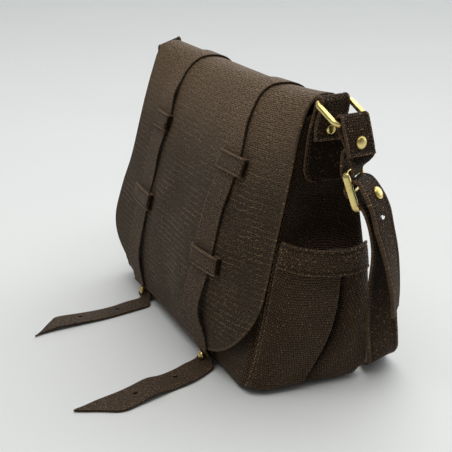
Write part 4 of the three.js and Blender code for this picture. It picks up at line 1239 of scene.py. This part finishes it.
def pocket_section(height, side):
    """The pleated section of a side pocket at heights: depth and distance off the gusset."""
    height = np.asarray(height, float)
    front = edge_y(height, True, side) + SEAM_GAP + foot_in(height - 4)
    back = edge_y(height, False, side) - SEAM_GAP - foot_in(height - 4)
    fold = front + (back - front) * table_at(FOLD_ROWS, height)
    top = 6 + 5 * ease((height - POCKET_FOOT) / 45)
    base = 2 * GAP + POCKET_THICKNESS / 2
    open_share = np.sin(np.pi * np.clip((height - 4) / 104, 0, 1))
    low = np.maximum(base + 0.5, top - 2 * PLEAT_STEP - 5.0 * open_share)
    swell = 1.4 + 5.2 * open_share
    ahead, behind = fold - front, back - fold
    dip = 4 + 7 * open_share
    rest = behind - dip
    tuck = np.minimum(PLEAT_DEPTH, 0.4 * ahead)
    rows = [
        (front, base), (front + 0.1 * ahead, base + 0.4 * (top - base)),
        (front + 0.3 * ahead, base + 0.8 * (top - base)),
        (front + 0.55 * ahead, base + 0.97 * (top - base)), (front + 0.8 * ahead, top),
        (fold - 1.4, top + 0.3), (fold, top - PLEAT_STEP / 2), (fold - 1.4, top - PLEAT_STEP),
        (fold + 1.2 - tuck, (2 * top + low) / 3 - 1), (fold - tuck, (top + 2 * low) / 3 - 0.3),
        (fold + 1.2 - tuck, low), (fold + 0.4 * dip, low), (fold + dip, low + 0.55 * swell),
        (fold + dip + 0.4 * rest, low + swell),
        (fold + dip + 0.8 * rest, base + 0.6 * (low + swell - base)), (back, base),
    ]
    return np.stack([np.stack(np.broadcast_arrays(y, off), -1) for y, off in rows], -2)


def mouth_heights(section):
    """The mouth's height for each column of a section, by its place from front to back."""
    depth = section[:, 0]
    return table_at(MOUTH_ROWS, np.clip((depth - depth[0]) / (depth[-1] - depth[0]), 0, 1))


def own_columns(sections):
    """Column j of the section that was made for column j."""
    return sections[np.arange(len(sections)), np.arange(len(sections))]


def side_pocket(side, sign):
    rises = np.concatenate([np.linspace(-1, 0, 8)[:-1], np.linspace(0, 1, 44)])
    columns = 15
    place = np.concatenate([
        np.linspace(0, 5, 41)[:-1], np.linspace(5, 11, 37)[:-1], np.linspace(11, columns, 33)])
    mouth = pocket_section(np.full(columns + 1, MOUTH_HEIGHT), sign)
    tops = mouth_heights(own_columns(mouth)) - 1.4
    top = smooth_line(tops[:, None], place)[:, 0]
    grid = []
    for rise in rises:
        up = max(rise, 0.0)
        sections = pocket_section(POCKET_FOOT + (tops - POCKET_FOOT) * up, sign)
        line = smooth_line(own_columns(sections), place)
        height = POCKET_FOOT + (top - POCKET_FOOT) * up
        turn = max(-rise, 0.0) * math.pi / 2
        height = height - 4.4 * math.sin(turn)
        x = half_width_at(np.maximum(height, 1.0)) + line[:, 1] * (0.1 + 0.9 * math.cos(turn))
        to_edge = np.minimum(line[:, 0] - line[0, 0], line[-1, 0] - line[:, 0])
        rolled = ease(1 - to_edge / 9) * ease((20 - height) / 18)
        grid.append(np.stack([sign * (x - 2 * rolled), line[:, 0], height + 3.5 * rolled], -1))
    name = f"side_pocket_{side}"
    # Painted shade in the dip behind the pleat's fold.
    pleat_shade = 0.97 * ease((place - 5.9) / 0.4) * ease((12.7 - place) / 1.9)
    piece, _, _ = leather_sheet(
        name, np.array(grid), POCKET_THICKNESS, side_leather, flip=sign < 0, painted_shade=pleat_shade[None])
    settle(piece, LEATHER_SLOT, name)


def binding_section(height, side):
    """The binding's section: on the pocket up to the pleat, then straight over to the back."""
    lap = POCKET_THICKNESS + 2.4 * GAP
    section = pocket_section(height, side)
    slope = unit(np.gradient(section[:, :7], axis=1))
    raised = section[:, :6] + np.stack([-slope[:, :6, 1], slope[:, :6, 0]], -1) * lap
    raised[:, 0, 0] = section[:, 0, 0]
    fold = raised[:, 5]
    end = section[:, -1] + (0, lap)
    ahead = end[:, 0] - fold[:, 0]
    over = [
        np.stack([fold[:, 0] + share * ahead, height_off], -1)
        for share, height_off in (
            (0.25, fold[:, 1] - 0.4), (0.6, fold[:, 1] - 2.2), (0.88, end[:, 1] + 3.6),
            (1.0, end[:, 1]))
    ]
    return np.concatenate([raised, np.stack(over, 1)], 1)


def pocket_binding(side, sign):
    columns = 9
    place = np.linspace(0, columns, 92)
    mouth = binding_section(np.full(columns + 1, MOUTH_HEIGHT), sign)
    tops = mouth_heights(own_columns(mouth))
    top = smooth_line(tops[:, None], place)[:, 0]
    sag = 1.5 * np.linspace(0, 1, columns + 1) ** 3
    grid = []
    for rise in spread(33, 0.75):
        drop = (BINDING_HEIGHT + sag) * (1 - rise)
        line = smooth_line(own_columns(binding_section(tops - drop, sign)), place)
        height = top - smooth_line(drop[:, None], place)[:, 0]
        grid.append(np.stack([sign * (HALF_WIDTH + line[:, 1]), line[:, 0], height], -1))
    name = f"pocket_binding_{side}"
    piece, face, _ = leather_sheet(
        name, np.array(grid), POCKET_THICKNESS, strap_leather, flip=sign < 0,
        seams=(("start", 2.6), ("end", 2.8)))
    settle(piece, LEATHER_SLOT, name)
    lines = [face.rung(inset, end, STITCH_LIFT)[2:-2] for inset, end in ((2.8, 1), (2.6, -1))]
    stitched(f"{name}_stitching", lines, BINDING_STITCH)


# Rings, slider, tabs and shoulder strap


def wire_frame(middle, across, along, half_across, half_along, thick, deep, corner, square):
    """A rounded rectangular frame of bar; thick and deep give the bar's half sizes at an angle."""
    steps = 10
    normal = np.cross(across, along)
    turn = 2 * np.pi * (np.arange(BAR_SIDES) + 0.5) / BAR_SIDES
    c, s = (np.sign(wave) * np.abs(wave) ** square for wave in (np.cos(turn), np.sin(turn)))
    points = []
    for quarter, (sign_a, sign_b) in enumerate(((1, 1), (-1, 1), (-1, -1), (1, -1))):
        bend = middle + across * sign_a * (half_across - corner)
        bend = bend + along * sign_b * (half_along - corner)
        for angle in math.pi / 2 * (quarter + np.arange(steps + 1) / steps):
            outward = across * math.cos(angle) + along * math.sin(angle)
            section = np.outer(c * thick(angle), outward) + np.outer(s * deep(angle), normal)
            points.append(bend + corner * outward + section)
    return np.concatenate(points), tube_faces(len(points), BAR_SIDES, True)


def ring(side):
    """A ring: the right one is pulled out by the connecting tab, the left one hangs."""
    start, yaw, roll, drop, half = RINGS[side]
    across = across_at(yaw, roll)
    level = unit(np.cross(across, (0, 0, 1))) * (1 if side == "right" else -1)
    down = np.cross(across, level) * (-1 if np.cross(across, level)[2] > 0 else 1)
    along = unit(level * math.cos(math.radians(drop)) + down * math.sin(math.radians(drop)))
    brass_piece(f"ring_{side}", *wire_frame(
        np.array(start) + along * RING_LENGTH / 2, across, along, half, RING_LENGTH / 2,
        lambda angle: RING_BAR, lambda angle: RING_BAR, RING_CORNER, square=0.85))


def slider():
    """The slider: its side bars are deep and flat, its top, middle and lower bars are round."""
    across = across_at(SLIDER_YAW, 0)
    lean = math.radians(SLIDER_LEAN)
    along = np.array([across[1] * math.sin(lean), -across[0] * math.sin(lean), -math.cos(lean)])
    middle = np.array(SLIDER_TOP) + along * SLIDER_LENGTH / 2
    outline = wire_frame(
        middle, across, along, SLIDER_HALF, SLIDER_LENGTH / 2,
        lambda angle: 1.7, lambda angle: 1.9 + 0.9 * float(ease(abs(math.cos(angle)) * 1.6 - 0.4)),
        SLIDER_CORNER, square=0.55)
    ends = SLIDER_HALF - GAP
    profile = [(SLIDER_BAR, at) for at in np.linspace(-ends, ends, 6)]
    bar = lathe(profile, middle, across, np.cross(along, across), BAR_SIDES)
    brass_piece("slider", *joined(
        (points, outward_faces(points, faces)) for points, faces in (outline, bar)))


def face_at(stations, row, thickness, outward):
    """The middle of a band's face at a row, and the way out of it."""
    table = np.array([[*c, *a] for c, a, _ in stations], float)
    before, here, after = (smooth_line(table, np.float64(row + d)) for d in (-0.5, 0, 0.5))
    axis = unit(np.cross(after[:3] - before[:3], here[3:]))
    axis = axis * np.sign(axis @ np.asarray(outward, float))
    return here[:3] + axis * (thickness / 2 + 0.5), axis


def both_edges(faces, trim):
    """Stitch lines along both edges, on both faces of a band."""
    return [
        face.lane(EDGE_SEAM, side, STITCH_LIFT)[trim:-trim] for face in faces for side in (-1, 1)]


def ring_tab(side):
    stations = []
    for (x, y, z, yaw, width), fold in zip(RING_TAB_ROWS, LEFT_FOLD):
        if side == "right":
            stations.append(((x, y, z), across_at(yaw, 0), width))
        else:
            shifted = (-x, y - LEFT_END_FORWARD - 0.6 * fold, z - 3.0 * fold)
            stations.append((shifted, across_at(-yaw * (1 - fold), 20 * fold), width - 4 * fold))
    outward = (1, 0, 0) if side == "right" else (-1, 0, 0)
    place, axis = face_at(stations, RING_TAB_RIVET, TAB_THICKNESS, outward)
    name = f"ring_tab_{side}"
    grid = band_grid(stations, 29, TAB_STEPS)
    end_seam = 2.6
    # Painted shade over the shield, low on the gusset below the flap's edge.
    piece, face, under = leather_sheet(
        name, grid, TAB_THICKNESS, shoulder_leather, seams=(*SIDE_SEAMS, ("end", end_seam)),
        painted_shade=0.72 * ease((7.5 - table_row(grid, TAB_STEPS)) / 1.5))
    settle(piece, LEATHER_SLOT, name)
    riveted(f"ring_tab_rivet_{side}", place, axis, TAB_RIVET_RADIUS)
    shown = (face.part(9 * TAB_STEPS, len(grid)), under.part(2 * TAB_STEPS, 10 * TAB_STEPS))
    lines = both_edges(shown, 2) + [face.rung(end_seam, 1, STITCH_LIFT)[4:-4]]
    stitched(f"{name}_stitching", lines, TAB_STITCH)


def connecting_tab():
    name = "connecting_tab"
    stations = [((x, y, z), across_at(yaw, 0), width) for x, y, z, yaw, width in LINK_ROWS]
    grid = band_grid(stations, 29, TAB_STEPS)
    # Painted shade where the tab passes under its own upper end.
    piece, face, under = leather_sheet(
        name, grid, TAB_THICKNESS, shoulder_leather, seams=(*SIDE_SEAMS, ("start", EDGE_SEAM)),
        painted_shade=0.75 * ease(2 - np.abs(table_row(grid, TAB_STEPS) - 9)))
    settle(piece, LEATHER_SLOT, name)
    place, axis = face_at(stations, LINK_RIVET, TAB_THICKNESS, (1, 0, 0))
    riveted(f"{name}_rivet", place, axis, STRAP_RIVET_RADIUS)
    lines = both_edges((face, under), 3) + [under.rung(EDGE_SEAM, -1, STITCH_LIFT)[4:-4]]
    stitched(f"{name}_stitching", lines, TAB_STITCH)


def shoulder_strap():
    name = "shoulder_strap"
    stations = [
        ((x, y, z), across_at(yaw, roll), width) for x, y, z, yaw, roll, width in SHOULDER_ROWS]
    grid = band_grid(stations, 25, SHOULDER_STEPS)
    row = table_row(grid, SHOULDER_STEPS)
    # Painted shade on the layer that runs down behind the turned-back end.
    piece, face, under = leather_sheet(
        name, grid, SHOULDER_THICKNESS, shoulder_leather, seams=SIDE_SEAMS,
        painted_shade=0.75 * ease((row - 11) / 2) * ease((20 - row) / 3))
    hole, _ = face_at(stations, STRAP_HOLE, 0, (1, 0, 0))
    punched(piece, [(hole, STRAP_HOLE_AXIS)], STRAP_HOLE_RADIUS, 24.0)
    settle(piece, LEATHER_SLOT, name)
    for rivet, at, outward, aside in (
        ("strap_rivet_right", RIGHT_STRAP_RIVET, (1, 0, 0), 3.0),
        ("strap_rivet_left", LEFT_STRAP_RIVET, (0, 0, 1), 0.0),
    ):
        place, axis = face_at(stations, at, SHOULDER_THICKNESS, outward)
        place = place + aside * np.array(stations[round(at)][1])
        riveted(rivet, place, axis, STRAP_RIVET_RADIUS)
    stitched(f"{name}_stitching", both_edges((face, under), 4), SHOULDER_STITCH)


# Studio

# Lights: name, place and target in metres, size, power, colour.
LIGHTS = [
    ("top_softbox", (0.2, 0.45, 2.2), (0.0, 0.0, 0.1), 2.2, 15.0, (1.0, 0.99, 0.97)),
    ("front_fill", (0.3, -0.9, 2.3), (0.1, -0.3, 0.0), 1.6, 20.0, (1.0, 0.985, 0.96)),
]
TABLE_REACH = 12.0
TABLE_HEIGHT = -0.0002
# The photograph's camera as it was fitted: azimuth, elevation and roll in degrees, the point it
# looks at and the distance in metres, and the focal length and width of the picture in pixels.
CAMERA_TURN = (67.6, 18.3, 0.4)
CAMERA_TARGET = (0.0, -0.0095, 0.0918)
CAMERA_DISTANCE = 0.9484
CAMERA_FOCAL = 1040
PICTURE_WIDTH = 452
SENSOR_WIDTH = 36.0


def studio():
    """A pale table under two lights, with a bright wall to the bag's left and behind it."""
    scene = bpy.context.scene
    scene.view_settings.view_transform = "Standard"
    world = bpy.data.worlds.new("studio")
    scene.world = world
    world.use_nodes = True
    tree = world.node_tree
    towards = add_node(tree, "ShaderNodeTexCoord").outputs["Generated"]
    facing = add_node(
        tree, "ShaderNodeVectorMath", {0: towards, 1: (-0.6, 0.77, 0.22)}, operation="DOT_PRODUCT")
    wall = range_node(tree, facing.outputs["Value"], 0.25, 1.0, 0.22, 2.2)
    seen = add_node(tree, "ShaderNodeLightPath").outputs["Is Camera Ray"]
    strength = add_node(tree, "ShaderNodeMix", {"Factor": seen, "A": wall, "B": 0.75})
    feed(tree, tree.nodes["Background"], {
        "Color": (0.93, 0.95, 0.96, 1.0), "Strength": strength.outputs["Result"]})

    material, tree, shader = new_material("pale_table")
    place = add_node(tree, "ShaderNodeTexCoord").outputs["Object"]
    haze = noise_node(tree, place, 3.0, 2.0)
    feed(tree, shader, {
        "Base Color": mix_colour(tree, haze, (0.73, 0.74, 0.73, 1.0), (0.77, 0.78, 0.77, 1.0)),
        "Roughness": 0.6,
        "Specular IOR Level": 0.2,
    })
    mesh = bpy.data.meshes.new("table")
    corners = [
        (a * TABLE_REACH, b * TABLE_REACH, TABLE_HEIGHT)
        for a, b in ((-1, -1), (1, -1), (1, 1), (-1, 1))]
    mesh.from_pydata(corners, [], [(0, 1, 2, 3)])
    mesh.materials.append(material)
    link_mesh("table", mesh)

    for name, place, target, size, power, colour in LIGHTS:
        light = bpy.data.lights.new(name, "AREA")
        light.shape = "SQUARE"
        light.size = size
        light.energy = power
        light.color = colour
        lamp = bpy.data.objects.new(name, light)
        lamp.location = place
        lamp.rotation_euler = (Vector(target) - Vector(place)).to_track_quat("-Z", "Y").to_euler()
        scene.collection.objects.link(lamp)


def photo_camera():
    azimuth, elevation, roll = (math.radians(angle) for angle in CAMERA_TURN)
    right = Vector((math.cos(azimuth), math.sin(azimuth), 0))
    level = Vector((math.sin(azimuth), -math.cos(azimuth), 0))
    back = level * math.cos(elevation) + Vector((0, 0, math.sin(elevation)))
    up = back.cross(right)
    rolled_right = right * math.cos(roll) + up * math.sin(roll)
    rolled_up = up * math.cos(roll) - right * math.sin(roll)
    camera = bpy.data.objects.new("photo_camera", bpy.data.cameras.new("photo_camera"))
    turn = Matrix((rolled_right, rolled_up, back)).transposed().to_4x4()
    turn.translation = Vector(CAMERA_TARGET) + back * CAMERA_DISTANCE
    camera.matrix_world = turn
    camera.data.sensor_width = SENSOR_WIDTH
    camera.data.lens = SENSOR_WIDTH * CAMERA_FOCAL / PICTURE_WIDTH
    camera.data.clip_end = 100.0
    bpy.context.scene.collection.objects.link(camera)
    bpy.context.scene.camera = camera


photo_camera()
studio()

front_foot, back_foot = (
    float(row_at_height(HALF_WIDTH, BASE_EDGE_LIFT, facing)) for facing in (True, False))
body_panel("front_panel", FRONT_PANEL_TOP, front_foot, 140, 81)
body_panel("back_panel", back_foot, BACK_PANEL_TOP, 110, 81)
gusset()
flap_piece = flap()
for side, sign in (("left", -1), ("right", 1)):
    side_pocket(side, sign)
    pocket_binding(side, sign)
    flap_strap(side, sign)
    for row, level, left, right in KEEPERS[side]:
        keeper(side, row, level, left, right)
    stud_tab(side, sign)
    stud(side, sign)
    ring_tab(side)
    ring(side)
connecting_tab()
slider()
shoulder_strap()
